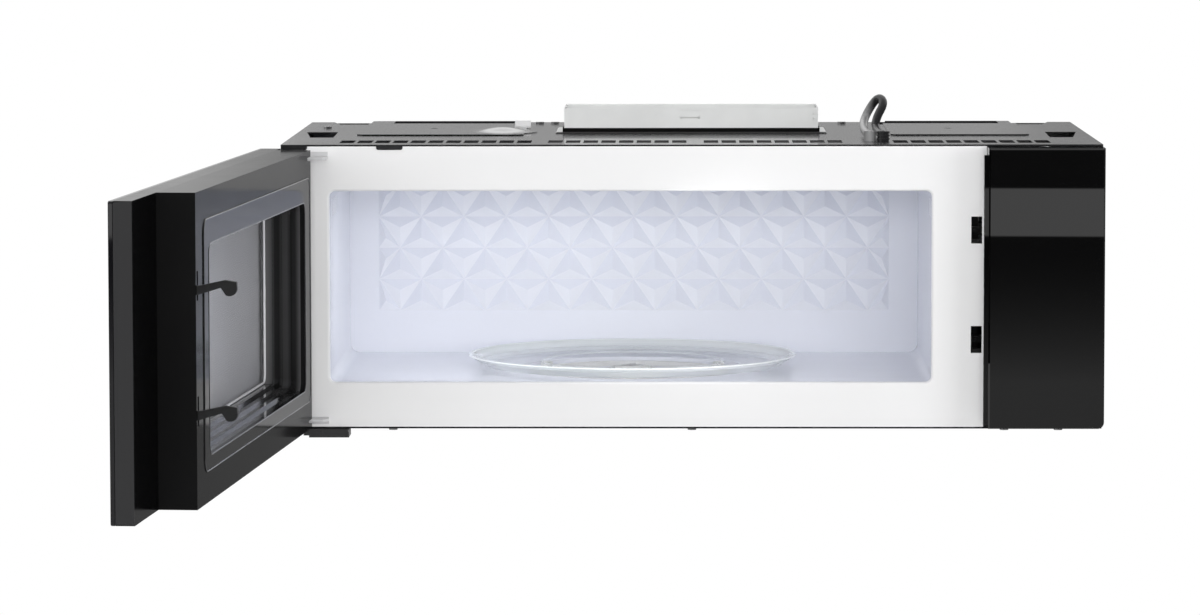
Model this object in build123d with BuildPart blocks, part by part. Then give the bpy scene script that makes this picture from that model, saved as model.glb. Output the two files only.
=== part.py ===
from build123d import *
from math import cos, pi, radians, sin, tan
import os

os.makedirs("parts", exist_ok=True)

# An over the range microwave oven with its door open. Millimetres, +Z up, the front faces -Y.
# The origin is the middle of the rear bottom edge, on the wall that the cabinet hangs against.

# ---------------------------------------------------------------- driving dimensions
# cabinet
width = 759.0
height = 263.4
depth = 420.0  # wall face to the white front plate
sheet = 1.0  # cabinet and liner sheet
hem = 1.6  # folded front edges of the top and the base
hem_depth = 8.0
fit_gap = 0.3  # between pieces that seat in each other
running_gap = 0.05  # radial, between a pin and its bore

# cavity
cavity_left = -337.0
cavity_right = 224.0
rear_zone = 80.0  # behind the cavity, where the blower and the fan are
cavity_floor = 39.5
cavity_ceiling = 226.0
cavity_corner = 9.0
aperture_lip = 2.1  # how far the front plate stands in from the liner
aperture_low_lip = 3.6
aperture_top_lip = 5.6
aperture_corner = 5.5
lip_depth = 6.0  # the aperture's edge turns into the cavity this far
lip_roll = 2.3  # radius of that turn
frame_sheet = 1.2
frame_rim = 9.0  # turned edge of the front plate
facet_columns = 12
facet_rows = 4
facet_pitch = 42.0
facet_row_height = 31.0
facet_rise = 4.0
facet_bottom = 81.0

# turntable
tray_gap = 13.0  # tray's rim to the cavity's front and back
tray_setback = 8.0  # turntable's axis behind the cavity's middle
tray_base = 42.0  # height of the tray's underside
tray_glass = 4.0
tray_height = 11.6
recess_radius = 112.0
recess_depth = 11.0
roller_track = 96.0
roller_width = 7.0
roller_pin = 2.0
ring_rim = 5.0
ring_hub_radius = 30.0
hub_radius = 12.0
shaft_radius = 3.5
motor_radius = 25.0
motor_height = 16.0

# right-hand bay
frame_right = 270.0  # right edge of the white front plate
panel_left = 272.8
panel_depth = 31.0  # the gloss panel stands this far in front of the white plate
panel_wall = 2.5
panel_bottom = 2.9
panel_top = 261.4
panel_corner = 6.0
panel_bevel = 1.5
corner_step = 8.2  # the white plate reaches the gloss panel this far down from its top

# door
hinge_inset = 17.3  # cabinet side to the hinge axis
hinge_forward = 14.9  # front plate to the hinge axis
door_opening = 94.5  # degrees from closed, as modelled
door_bottom = 3.4
door_top = 259.8
glass_thickness = 4.0
skin_back = 19.0  # hinge axis to the back of the door's outer skin
skin_thickness = 19.1
skin_wall = 2.0
skin_end_gap = 0.2  # the skin ends this far inside the cabinet's sides
body_start = 10.0  # hinge axis to the inner body's end
body_gap = 2.1  # inner body to the front plate with the door shut
body_wall = 2.0
body_side_gap = 2.3  # inner body to the gloss panel's side
ring_start = 20.0
ring_end = 597.0
ring_bottom = 29.0
ring_top = 235.5
ring_corner = 12.0
ring_proud = 0.6
window_start = 50.0
window_end = 574.0
window_bottom = 41.5
window_top = 214.0
window_depth = 37.0
choke_steps = 4
choke_step = 2.4
choke_wall = 3.0
pane = 3.0
screen = 0.8

# latch
hook_height = 182.5  # middle of the upper hook
hook_pitch = 101.5
hook_reach = 32.5  # past the inner body's back
hook_width = 5.0
hook_from_edge = 7.2  # hook's middle to the inner body's free end
latch_travel = 5.0
slot_width = 10.0
slot_height = 25.0
slot_lift = 1.8  # slot's middle above the hook's middle

# hinges
hinge_pin = 3.0
bracket_sheet = 2.4
bracket_reach = 9.0  # past the hinge axis
bracket_side = 13.8
bracket_inner = 26.2
upper_bracket = 250.6
lower_bracket = 8.4
pin_length = 6.0
flange_height = 4.0  # turned edge of a bracket
knuckle = 3.2
knuckle_radius = 8.0

# top plate
pad_rise = 1.3
pad_front = 158.0
pad_wall_gap = 4.0  # the pads end this far from the wall
left_pad = (-319.0, -160.0)
right_pad = (190.0, 322.0)
vent_pitch = 16.5
vent_width = 13.4
vent_front = 28.0
vent_length = 46.0
vent_starts = (-329.0, -135.0, 10.0, 186.5)
vent_counts = (11, 8, 8, 9)
bolt_spacing = 500.0
bolt_hole = 3.6
bolt_depth = 270.0
tab_drop = 4.8
corner_tab = (24.4, 2.0)  # length and corner radius of the tabs on the front edge
edge_tab_place = -279.0
rear_slot_places = (-235.0, 245.0)
rear_slot = (120.0, 46.0)
rear_slot_wall_gap = 5.0
rear_notch = (317.5, 357.0, 348.0, 48.0)  # inner edge, outer edge at the wall, outer edge inside, length

# duct adaptor
duct_width = 244.0
duct_depth = 83.0
duct_front = 205.0
duct_wall = 1.0
duct_rise = 19.2
gasket_height = 3.8
flange_sheet = 1.2
flange_margin = 8.0
gasket_width = 8.0
flap_pin = 1.5
flap_gap = 1.2
flap_inset = 4.0

# extraction blower
scroll_radius = 34.0
scroll_wall_gap = 6.0
scroll_height = 188.0
scroll_half_length = 148.0
blower_wall = 1.2
wheel_radius = 27.0
wheel_end_gap = 3.6  # a wheel's open end to the housing's end wall
blade_count = 18
blade_sheet = 1.0
blade_depth = 6.5
plenum_height = 33.0
blower_motor_radius = 24.0
blower_motor_length = 72.0
blower_shaft = 3.0
inlet_radius = 22.0

# cord
cord_diameter = 8.0
bush_radius = 5.4
bush_height = 9.4
bush_depth = 60.0  # front plate to the bushes
bush_places = (179.0, 166.6)
neck_radius = cord_diameter / 2 + 0.8
neck_reach = 9.0  # bush's axis to the end of its sideways neck

# ---------------------------------------------------------------- places worked out from them
half = width / 2
front = -depth
inner_half = half - sheet
cavity_depth = depth - rear_zone
cavity_back = front + cavity_depth
cavity_middle = (cavity_left + cavity_right) / 2
cavity_width = cavity_right - cavity_left
cavity_height = cavity_ceiling - cavity_floor
aperture_left = cavity_left + aperture_lip
aperture_right = cavity_right - aperture_lip
aperture_bottom = cavity_floor + aperture_low_lip
aperture_top = cavity_ceiling - aperture_top_lip
tray_y = front + cavity_depth / 2 + tray_setback
tray_radius = cavity_depth / 2 - tray_gap
recess_floor = cavity_floor - recess_depth
hinge_x = -half + hinge_inset
hinge_y = front - hinge_forward
skin_front = skin_back + skin_thickness
skin_start = -hinge_inset + skin_end_gap
skin_end = half - hinge_x - skin_end_gap - 1.3
body_back = hinge_forward - body_gap
body_end = panel_left - body_side_gap - hinge_x
hook_u = body_end - hook_from_edge
hook_x = hinge_x + hook_u
plenum_floor = height - sheet - plenum_height
scroll_y = -scroll_wall_gap - scroll_radius
cabinet_top = height - sheet
gasket_bottom = height + flange_sheet
duct_bottom = gasket_bottom + gasket_height
duct_top = duct_bottom + duct_rise
duct_middle = front + duct_front + duct_depth / 2
recess_under = recess_floor - sheet
tray_top = tray_base + tray_height


def level(z):
    """A plane at height z: sketch x is X, sketch y is Y."""
    return Plane.XY.offset(z)


def facing_front(y):
    """A plane at depth y that faces -Y: sketch x is X, sketch y is Z."""
    return Plane.XZ.offset(-y)


def facing_right(x):
    """A plane at x that faces +X: sketch x is Y, sketch y is Z."""
    return Plane.YZ.offset(x)


# The door is drawn shut, with its hinge axis as the origin, and its plane turns it open.
door = Plane(
    origin=(hinge_x, hinge_y, 0),
    x_dir=(cos(radians(door_opening)), -sin(radians(door_opening)), 0),
    z_dir=(0, 0, 1),
)


def door_face(y):
    """A plane across the door, y behind the hinge axis: sketch x runs to the free end, sketch y is up."""
    return Plane(
        origin=door.from_local_coords((0, y, 0)), x_dir=door.x_dir, z_dir=-door.y_dir
    )


def block(x, y, z, mode=Mode.ADD):
    """A box between two values on each axis, in the open part's own frame."""
    with Locations(((x[0] + x[1]) / 2, (y[0] + y[1]) / 2, (z[0] + z[1]) / 2)):
        Box(abs(x[1] - x[0]), abs(y[1] - y[0]), abs(z[1] - z[0]), mode=mode)


def middle(pair):
    return (pair[0] + pair[1]) / 2


pieces = []


def keep(part, label):
    """Names a finished piece and writes it."""
    part.label = label
    pieces.append(part)
    export_step(part, f"parts/{label}.step")


# ---------------------------------------------------------------- cabinet sheets
trapezoid_back = 30.0
trapezoid_front = 22.0
trapezoid_length = 100.0
trapezoid_side = 356.0
trapezoid_skew = 17.0  # its near end's inner corner lies this far inside the middle of its far end
trapezoid_depth = 176.0
bush_plug = bush_radius - 1.0
bush_centres = [(place, front + bush_depth) for place in bush_places]

corner_tab_place = -half + corner_tab[0] / 2 + 0.1
with BuildPart() as top_plate:
    with BuildSketch(level(cabinet_top)):
        with Locations((0, -depth / 2)):
            Rectangle(width, depth)
    extrude(amount=sheet)
    block((-inner_half, inner_half), (front, front + hem_depth), (height - hem, height))
    # small folded tabs on the front edge: a rolled one at the left corner and a rounded one beside it
    with BuildSketch(facing_front(front)):
        with Locations(*((place, height - tab_drop / 2) for place in (corner_tab_place, edge_tab_place))):
            RectangleRounded(corner_tab[0], tab_drop, corner_tab[1])
    extrude(amount=sheet)
    # raised pads, pressed up out of the sheet
    pad_corner = 8.0
    for pad in (left_pad, right_pad):
        pad_size = (pad[1] - pad[0], depth - pad_front - pad_wall_gap)
        pad_centre = (middle(pad), -pad_wall_gap - pad_size[1] / 2)
        with BuildSketch(level(height)):
            with Locations(pad_centre):
                RectangleRounded(*pad_size, pad_corner)
        extrude(amount=pad_rise)
        with BuildSketch(level(cabinet_top)):
            with Locations(pad_centre):
                RectangleRounded(pad_size[0] - 2 * sheet, pad_size[1] - 2 * sheet, pad_corner - sheet)
        extrude(amount=pad_rise, mode=Mode.SUBTRACT)
    # openings
    with BuildSketch(level(cabinet_top)):
        for start, count in zip(vent_starts, vent_counts):
            for k in range(int(count)):
                with Locations((start + (k + 0.5) * vent_pitch, front + vent_front + vent_length / 2)):
                    Rectangle(vent_width, vent_length)
        with Locations((0, duct_middle)):
            Rectangle(duct_width - 2 * gasket_width, duct_depth - 2 * gasket_width)
        with Locations(*bush_centres):
            Circle(bush_plug + fit_gap)
        with Locations(*((place, -rear_slot_wall_gap - rear_slot[1] / 2) for place in rear_slot_places)):
            Rectangle(*rear_slot)
        for side in (-1, 1):
            near = front + trapezoid_depth - trapezoid_length / 2
            far = near + trapezoid_length
            Polygon(
                (side * (trapezoid_side + trapezoid_back / 2), far),
                (side * (trapezoid_side - trapezoid_back / 2), far),
                (side * (trapezoid_side - trapezoid_skew), near),
                (side * (trapezoid_side - trapezoid_skew + trapezoid_front), near),
                align=None,
            )
            # open notch at the rear corner
            inner, outer, outer_inside, length = rear_notch
            Polygon(
                (side * outer, 0),
                (side * inner, 0),
                (side * inner, -length),
                (side * outer_inside, -length),
                align=None,
            )
    extrude(amount=sheet + pad_rise, mode=Mode.SUBTRACT)
    bolt_top = height + pad_rise
    with Locations(*((side * bolt_spacing / 2, front + bolt_depth, bolt_top) for side in (-1, 1))):
        Hole(bolt_hole, depth=pad_rise + 2 * sheet)
keep(top_plate.part, "top_plate")

filter_size = (200.0, 130.0)
filter_thickness = 6.0
filter_offset = 160.0
filter_depth = 250.0
pocket_wall = 1.0
pocket_height = 7.0
lamp_offset = 190.0
lamp_depth = 58.0
lamp_size = (64.0, 40.0)
filter_places = [(cavity_middle + side * filter_offset, front + filter_depth) for side in (-1, 1)]
lamp_places = [(cavity_middle + side * lamp_offset, front + lamp_depth) for side in (-1, 1)]

with BuildPart() as base_plate:
    block((-half, half), (front, -sheet), (0, sheet))
    block((-inner_half, inner_half), (front, front + hem_depth), (0, hem))
    with BuildSketch(level(0)):
        with Locations(*filter_places):
            Rectangle(
                filter_size[0] + 2 * (fit_gap + pocket_wall), filter_size[1] + 2 * (fit_gap + pocket_wall)
            )
    extrude(amount=pocket_height)
    with BuildSketch(level(0)):
        with Locations(*filter_places):
            Rectangle(filter_size[0] + 2 * fit_gap, filter_size[1] + 2 * fit_gap)
        with Locations(*lamp_places):
            Rectangle(lamp_size[0] + 2 * fit_gap, lamp_size[1] + 2 * fit_gap)
    extrude(amount=pocket_height, mode=Mode.SUBTRACT)
keep(base_plate.part, "base_plate")

side_slot = (4.0, 46.0)
side_slot_pitch = 11.0


def side_sheet(sign, slot_count, slot_depth, slot_height):
    """A side of the cabinet with a row of cooling slots."""
    x = -half if sign < 0 else inner_half
    with BuildPart() as side:
        block((x, x + sheet), (front, 0), (sheet, cabinet_top))
        with BuildSketch(facing_right(x)):
            for k in range(slot_count):
                with Locations((front + slot_depth + k * side_slot_pitch, slot_height)):
                    Rectangle(*side_slot)
        extrude(amount=sheet, mode=Mode.SUBTRACT)
    return side.part


keep(side_sheet(-1, 8, 60.0, 60.0), "side_left")
keep(side_sheet(1, 12, 240.0, 150.0), "side_right")

hook_slot = (60.0, 9.0)
hook_slot_spacing = 480.0
hook_slot_height = 22.0

with BuildPart() as back_plate:
    block((-inner_half, inner_half), (-sheet, 0), (0, cabinet_top))
    with BuildSketch(facing_front(0)):
        for side in (-1, 1):
            with Locations((side * hook_slot_spacing / 2, hook_slot_height)):
                Rectangle(*hook_slot)
    extrude(amount=sheet, mode=Mode.SUBTRACT)
keep(back_plate.part, "back_plate")

# ---------------------------------------------------------------- white cavity front
slot_middle = hook_height + slot_lift
aperture_size = (aperture_right - aperture_left, aperture_top - aperture_bottom)
aperture_middle = ((aperture_left + aperture_right) / 2, (aperture_bottom + aperture_top) / 2)
with BuildPart() as front_frame:
    block((-inner_half, frame_right), (front, front + frame_rim), (hem, height - hem))
    block(
        (-inner_half + frame_sheet, frame_right - frame_sheet),
        (front + frame_sheet, front + frame_rim),
        (hem + frame_sheet, height - hem - frame_sheet),
        mode=Mode.SUBTRACT,
    )
    # its upper right corner reaches the gloss panel
    block(
        (frame_right, panel_left - fit_gap),
        (front, front + frame_sheet),
        (height - hem - corner_step, height - hem),
    )
    with BuildSketch(facing_front(front + frame_sheet)):
        with Locations(aperture_middle):
            RectangleRounded(*aperture_size, aperture_corner)
        with Locations(*((hook_x, slot_middle - k * hook_pitch) for k in range(2))):
            Rectangle(slot_width, slot_height)
    extrude(amount=frame_sheet, mode=Mode.SUBTRACT)
    # the aperture's edge rolls into the cavity
    with BuildSketch(facing_front(front + lip_depth)):
        with Locations(aperture_middle):
            RectangleRounded(
                aperture_size[0] + 2 * frame_sheet, aperture_size[1] + 2 * frame_sheet, aperture_corner + frame_sheet
            )
            RectangleRounded(*aperture_size, aperture_corner, mode=Mode.SUBTRACT)
    extrude(amount=lip_depth)
    front_face = front_frame.faces().sort_by(Axis.Y)[0]
    widest = max(front_face.inner_wires(), key=lambda wire: wire.length)
    fillet(widest.edges(), lip_roll)
keep(front_frame.part, "front_frame")

# ---------------------------------------------------------------- cavity
liner_front = front + frame_sheet
liner_length = cavity_back - liner_front
liner_centre = (cavity_middle, (cavity_floor + cavity_ceiling) / 2)
guide_place = (105.0, front + 145.0)  # middle of the waveguide's opening in the ceiling
guide_opening = (80.0, 60.0)
vent_slot = (3.0, 16.0)
vent_slot_pitch = 8.0
hub_hole = shaft_radius + 2.5

with BuildPart() as cavity_shell:
    with BuildSketch(facing_front(cavity_back)):
        with Locations(liner_centre):
            RectangleRounded(
                cavity_width + 2 * sheet, cavity_height + 2 * sheet, cavity_corner + sheet
            )
            RectangleRounded(cavity_width, cavity_height, cavity_corner, mode=Mode.SUBTRACT)
    extrude(amount=liner_length)
    # round recess that the roller ring runs in
    with BuildSketch(level(recess_under)):
        with Locations((cavity_middle, tray_y)):
            Circle(recess_radius + sheet)
    extrude(amount=cavity_floor - recess_under)
    with BuildSketch(level(recess_floor)):
        with Locations((cavity_middle, tray_y)):
            Circle(recess_radius)
    extrude(amount=recess_depth + sheet, mode=Mode.SUBTRACT)
    with Locations((cavity_middle, tray_y, recess_floor)):
        Hole(hub_hole, depth=5)
    # waveguide opening in the ceiling, lamp slots and vapour slots in the side walls
    with BuildSketch(level(cavity_ceiling)):
        with Locations(guide_place):
            Rectangle(*guide_opening)
    extrude(amount=sheet, mode=Mode.SUBTRACT)
    with BuildSketch(facing_right(cavity_right)):
        for k in range(6):
            with Locations((front + 50.0 + k * vent_slot_pitch, cavity_ceiling - 26.0)):
                Rectangle(*vent_slot)
    extrude(amount=sheet, mode=Mode.SUBTRACT)
    with BuildSketch(facing_right(cavity_left - sheet)):
        for k in range(9):
            with Locations((front + 70.0 + k * vent_slot_pitch, cavity_ceiling - 26.0)):
                Rectangle(*vent_slot)
    extrude(amount=sheet, mode=Mode.SUBTRACT)
keep(cavity_shell.part, "cavity_shell")

facet_left = cavity_middle - facet_columns * facet_pitch / 2
facet_right = facet_left + facet_columns * facet_pitch


def facet_triangles():
    """The triangles of the pressed pattern, as (x, z) corners. Every other line of corners is shifted by half a
    pitch, and the row's ends are closed with half triangles."""
    found = []
    for row in range(facet_rows):
        low = facet_bottom + row * facet_row_height
        high = low + facet_row_height
        # the aligned line has corners on the pattern's ends, the shifted one lies half a pitch inside
        aligned, shifted = (high, low) if row % 2 == 0 else (low, high)
        for k in range(facet_columns):
            x = facet_left + k * facet_pitch
            found.append(((x, aligned), (x + facet_pitch, aligned), (x + facet_pitch / 2, shifted)))
            if k:
                found.append(
                    ((x - facet_pitch / 2, shifted), (x + facet_pitch / 2, shifted), (x, aligned))
                )
        for end, inward in ((facet_left, 1), (facet_right, -1)):
            found.append(
                ((end, aligned), (end, shifted), (end + inward * facet_pitch / 2, shifted))
            )
    return found


with BuildPart() as cavity_back_wall:
    with BuildSketch(facing_front(cavity_back + sheet)):
        with Locations(liner_centre):
            RectangleRounded(
                cavity_width + 2 * sheet, cavity_height + 2 * sheet, cavity_corner + sheet
            )
    extrude(amount=sheet)
    pyramids = []
    for corners in facet_triangles():
        with BuildSketch(facing_front(cavity_back), mode=Mode.PRIVATE) as triangle:
            Polygon(*corners, align=None)
        peak_x = sum(corner[0] for corner in corners) / 3
        peak_z = sum(corner[1] for corner in corners) / 3
        peak = Vertex(peak_x, cavity_back - facet_rise, peak_z)
        pyramids.append(loft([triangle.sketch.face(), peak], mode=Mode.PRIVATE))
    add(pyramids)
keep(cavity_back_wall.part, "cavity_back_wall")

cover_margin = 9.0
cover_sheet = 0.8
with BuildPart() as waveguide_cover:
    with BuildSketch(level(cavity_ceiling - cover_sheet)) as cover_outline:
        with Locations(guide_place):
            Rectangle(guide_opening[0] + 2 * cover_margin, guide_opening[1] + 2 * cover_margin)
        chamfer(cover_outline.vertices().group_by(Axis.Y)[-1], 6.0)
    extrude(amount=cover_sheet)
keep(waveguide_cover.part, "waveguide_cover")

ear_spacing = 64.0
with BuildPart() as turntable_motor:
    with BuildSketch(level(recess_under)):
        with Locations((cavity_middle, tray_y)):
            Circle(motor_radius)
            SlotCenterToCenter(ear_spacing, 12.0)
    extrude(amount=-sheet)
    with BuildSketch(level(recess_under - sheet)):
        with Locations((cavity_middle, tray_y)):
            Circle(motor_radius)
    extrude(amount=sheet - motor_height)
    block(
        (cavity_middle - 7, cavity_middle + 7),
        (tray_y + motor_radius - 3, tray_y + motor_radius + 8),
        (recess_under - motor_height, recess_under - 4),
    )
    with Locations((cavity_middle, tray_y, recess_under)):
        Hole(shaft_radius + running_gap, depth=motor_height - 4)
keep(turntable_motor.part, "turntable_motor")

lobe_reach = 21.0
lobe_width = 7.0
coupler_floor = recess_floor + 1.5
with BuildPart() as turntable_coupler:
    with BuildSketch(level(coupler_floor)):
        with Locations((cavity_middle, tray_y)):
            Circle(hub_radius)
    extrude(amount=tray_base - coupler_floor)
    with BuildSketch(level(tray_base - 5)):
        with Locations((cavity_middle, tray_y)):
            with PolarLocations(lobe_reach / 2, 3, start_angle=90):
                Rectangle(lobe_reach, lobe_width)
    extrude(amount=5)
    with BuildSketch(level(coupler_floor)):
        with Locations((cavity_middle, tray_y)):
            Circle(shaft_radius)
    extrude(amount=recess_under - motor_height + 5 - coupler_floor)
keep(turntable_coupler.part, "turntable_coupler")

# roller ring with three spokes, and a roller on each of its pins
roller_radius = (tray_base - recess_floor) / 2 - fit_gap
roller_height = recess_floor + roller_radius + fit_gap
rim_outer = roller_track - roller_width / 2 - 1.0
roller_bearings = [30.0, 150.0, 270.0]
ring_height = 5.0
pin_end = roller_track + roller_width / 2 + 1.0

with BuildPart() as roller_ring:
    with BuildSketch(level(roller_height - ring_height / 2)):
        with Locations((cavity_middle, tray_y)):
            Circle(rim_outer)
            Circle(rim_outer - ring_rim, mode=Mode.SUBTRACT)
            Circle(ring_hub_radius + 4)
            with PolarLocations((rim_outer + ring_hub_radius) / 2, 3, start_angle=roller_bearings[0]):
                Rectangle(rim_outer - ring_hub_radius - ring_rim, 9.0)
            Circle(ring_hub_radius, mode=Mode.SUBTRACT)
    extrude(amount=ring_height)
    for bearing in roller_bearings:
        outward = Vector(cos(radians(bearing)), sin(radians(bearing)), 0)
        start = Vector(cavity_middle, tray_y, roller_height) + outward * (rim_outer - 1)
        with BuildSketch(Plane(start, z_dir=outward)):
            Circle(roller_pin)
        extrude(amount=pin_end - rim_outer + 1)
keep(roller_ring.part, "roller_ring")

for k, bearing in enumerate(roller_bearings):
    outward = Vector(cos(radians(bearing)), sin(radians(bearing)), 0)
    start = Vector(cavity_middle, tray_y, roller_height) + outward * (roller_track - roller_width / 2)
    with BuildPart() as roller:
        with BuildSketch(Plane(start, z_dir=outward)):
            Circle(roller_radius)
            Circle(roller_pin + running_gap, mode=Mode.SUBTRACT)
        extrude(amount=roller_width)
    keep(roller.part, f"roller_{k + 1}")

# glass tray: a flat floor with a low ring, and a rim that flares up
tray_flare = 27.0  # the floor ends this far inside the rim
tray_bend = 13.0  # the flare steepens this far inside the rim
bend_rise = 1.9
rim_edge = 1.0
rim_width = 3.4
foot_ring = 87.0
floor_top = tray_base + tray_glass
with BuildPart() as glass_tray:
    with BuildSketch(Plane(origin=(cavity_middle, tray_y, 0), x_dir=(1, 0, 0), z_dir=(0, -1, 0))):
        with BuildLine():
            Polyline(
                (0, tray_base + tray_glass),
                (0, tray_base),
                (tray_radius - tray_flare, tray_base),
                (tray_radius - tray_bend, tray_base + bend_rise),
                (tray_radius, tray_top - rim_edge),
                (tray_radius - rim_edge, tray_top),
                (tray_radius - rim_width, tray_top),
                (tray_radius - tray_bend - 1, floor_top + bend_rise),
                (tray_radius - tray_flare - 1, floor_top),
                (foot_ring + 2, floor_top),
                (foot_ring, floor_top + 1.0),
                (foot_ring - 2, floor_top),
                (0, floor_top),
            )
        make_face()
    revolve(axis=Axis((cavity_middle, tray_y, 0), (0, 0, 1)))
keep(glass_tray.part, "glass_tray")

lamp_y = front + 70.0
lamp_z = cavity_ceiling - 26.0
with BuildPart() as cavity_lamp:
    block((cavity_right + sheet, cavity_right + 3.0), (lamp_y - 26, lamp_y + 20), (lamp_z - 14, lamp_z + 14))
    with Locations(Location((cavity_right + 3.0, lamp_y, lamp_z), (0, 90, 0))):
        Cylinder(9.0, 14.0, align=(Align.CENTER, Align.CENTER, Align.MIN))
    with Locations(Location((cavity_right + 17.0, lamp_y, lamp_z), (0, 90, 0))):
        Cylinder(6.5, 18.0, align=(Align.CENTER, Align.CENTER, Align.MIN))
keep(cavity_lamp.part, "cavity_lamp")

# ---------------------------------------------------------------- right-hand bay
flange_left = frame_right + fit_gap
board_setback = 6.0  # front plate to the control board
boss_radius = 3.5
boss_places = (292.0, 367.0)
boss_heights = (30.0, 235.0)
with BuildPart() as right_panel:
    with BuildSketch(facing_front(front)) as panel_outline:
        with Locations(((panel_left + half) / 2, (panel_bottom + panel_top) / 2)):
            Rectangle(half - panel_left, panel_top - panel_bottom)
        fillet(panel_outline.vertices().group_by(Axis.X)[-1].sort_by(Axis.Z)[-1], panel_corner)
    extrude(amount=panel_depth)
    chamfer(right_panel.faces().sort_by(Axis.Y)[0].edges(), panel_bevel)
    block(
        (panel_left + panel_wall, half - panel_wall),
        (front - panel_depth + panel_wall, front),
        (panel_bottom + panel_wall, panel_top - panel_wall),
        mode=Mode.SUBTRACT,
    )
    # rear flange that screws to the white plate's turned edge
    block(
        (flange_left, panel_left + panel_wall),
        (front - frame_sheet, front),
        (panel_bottom, height - hem - corner_step - fit_gap),
    )
    # bosses for the control board
    for z in boss_heights:
        for x in boss_places:
            with Locations(Location((x, front - panel_depth + panel_wall, z), (-90, 0, 0))):
                Cylinder(
                    boss_radius,
                    panel_depth - panel_wall + board_setback,
                    align=(Align.CENTER, Align.CENTER, Align.MIN),
                )
keep(right_panel.part, "right_panel")

board_back = front + board_setback
board_sheet = 1.6
board_edge = 8.0  # board's edge past the middles of the bosses
# two relays, a transformer and a driver chip: their x, their z and how far they stand out
board_blocks = (
    ((292.0, 312.0), (60.0, 88.0), 18.0),
    ((318.0, 338.0), (60.0, 88.0), 18.0),
    ((344.0, 366.0), (120.0, 150.0), 24.0),
    ((296.0, 330.0), (170.0, 204.0), 5.0),
)
with BuildPart() as control_board:
    block(
        (boss_places[0] - board_edge, boss_places[1] + board_edge),
        (board_back, board_back + board_sheet),
        (boss_heights[0] - board_edge, boss_heights[1] + board_edge),
    )
    for x, z, proud in board_blocks:
        block(x, (board_back, board_back + proud), z)
keep(control_board.part, "control_board")

# latch board behind the two slots
board_x = (hook_x - 13.0, hook_x - 10.0)
shelf_thickness = 4.0
board_past_hook = 22.0
board_y = (front + frame_sheet, front + 62.0)
nose_drop = 6.6  # hook's middle to the underside of its nose
shelf_gap = 4.4
shelf_end = frame_right - frame_sheet - 1.0
hook_tip = front + hook_reach - body_gap  # where the hooks' tips end with the door shut
switch_y = (hook_tip + 3.6, hook_tip + 14.0)
switch_size = (19.8, 6.4)
plunger_radius = 1.5
plunger_travel = 1.5
plunger_length = 8.0
plunger_tip = hook_tip + 0.7

with BuildPart() as latch_board:
    low_hook = hook_height - hook_pitch
    block(board_x, board_y, (low_hook - board_past_hook, hook_height + board_past_hook))
    for k in range(2):
        shelf_top = hook_height - k * hook_pitch - nose_drop - shelf_gap
        block((board_x[0], shelf_end), board_y, (shelf_top - shelf_thickness, shelf_top))
        block((board_x[0], shelf_end), (front + 14, front + 18), (shelf_top, shelf_top + 3.0))
        block((board_x[0], shelf_end), (board_y[1] - 3, board_y[1]), (shelf_top, shelf_top + 26))
keep(latch_board.part, "latch_board")

switch_x = (board_x[1], board_x[1] + switch_size[0])
plunger_x = hook_x
with BuildPart() as interlock_switches:
    for k in range(2):
        z = hook_height - k * hook_pitch - 1.0
        block(switch_x, switch_y, (z - switch_size[1] / 2, z + switch_size[1] / 2))
    for k in range(2):
        z = hook_height - k * hook_pitch - 1.0
        with Locations(Location((plunger_x, switch_y[0], z), (-90, 0, 0))):
            Cylinder(
                plunger_radius + running_gap,
                plunger_length,
                align=(Align.CENTER, Align.CENTER, Align.MIN),
                mode=Mode.SUBTRACT,
            )
keep(interlock_switches.part, "interlock_switches")

for k, name in enumerate(("plunger_upper", "plunger_lower")):
    z = hook_height - k * hook_pitch - 1.0
    with BuildPart() as plunger:
        with Locations(Location((plunger_x, plunger_tip, z), (-90, 0, 0))):
            Cylinder(
                plunger_radius,
                switch_y[0] + plunger_length - plunger_travel - fit_gap - plunger_tip,
                align=(Align.CENTER, Align.CENTER, Align.MIN),
            )
        chamfer(plunger.edges().sort_by(Axis.Y)[0], 0.5)
    keep(plunger.part, name)

# waveguide over the cavity's ceiling, and the magnetron that hangs from it
guide_x = (guide_place[0] - guide_opening[0] / 2 - 5, 340.0)
guide_y = (guide_place[1] - 45, guide_place[1] + 45)
guide_z = (cavity_ceiling + sheet, cavity_ceiling + sheet + 26)
antenna_radius = 8.0
antenna_place = (291.0, guide_place[1])
with BuildPart() as waveguide:
    block(guide_x, guide_y, guide_z)
    block(
        (guide_x[0] + sheet, guide_x[1] - sheet),
        (guide_y[0] + sheet, guide_y[1] - sheet),
        (guide_z[0] + sheet, guide_z[1] - sheet),
        mode=Mode.SUBTRACT,
    )
    with BuildSketch(level(guide_z[0])):
        with Locations(guide_place):
            Rectangle(*guide_opening)
        with Locations(antenna_place):
            Circle(antenna_radius + 2)
    extrude(amount=sheet, mode=Mode.SUBTRACT)
keep(waveguide.part, "waveguide")

yoke_half = (41.0, 46.0)
yoke_height = 76.0
yoke_z = (guide_z[0] - yoke_height, guide_z[0])
yoke_sheet = 2.0
fin_count = 6
fin_sheet = 1.0
anode_radius = 18.0
yoke_x = (antenna_place[0] - yoke_half[0], antenna_place[0] + yoke_half[0])
with BuildPart() as magnetron_yoke:
    block(yoke_x, (antenna_place[1] - yoke_half[1], antenna_place[1] + yoke_half[1]), yoke_z)
    block(
        (yoke_x[0] + yoke_sheet, yoke_x[1] - yoke_sheet),
        (antenna_place[1] - yoke_half[1], antenna_place[1] + yoke_half[1]),
        (yoke_z[0] + yoke_sheet, yoke_z[1] - yoke_sheet),
        mode=Mode.SUBTRACT,
    )
    with BuildSketch(level(yoke_z[1] - yoke_sheet)):
        with Locations(antenna_place):
            Circle(anode_radius - 3)
    extrude(amount=yoke_sheet, mode=Mode.SUBTRACT)
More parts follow.
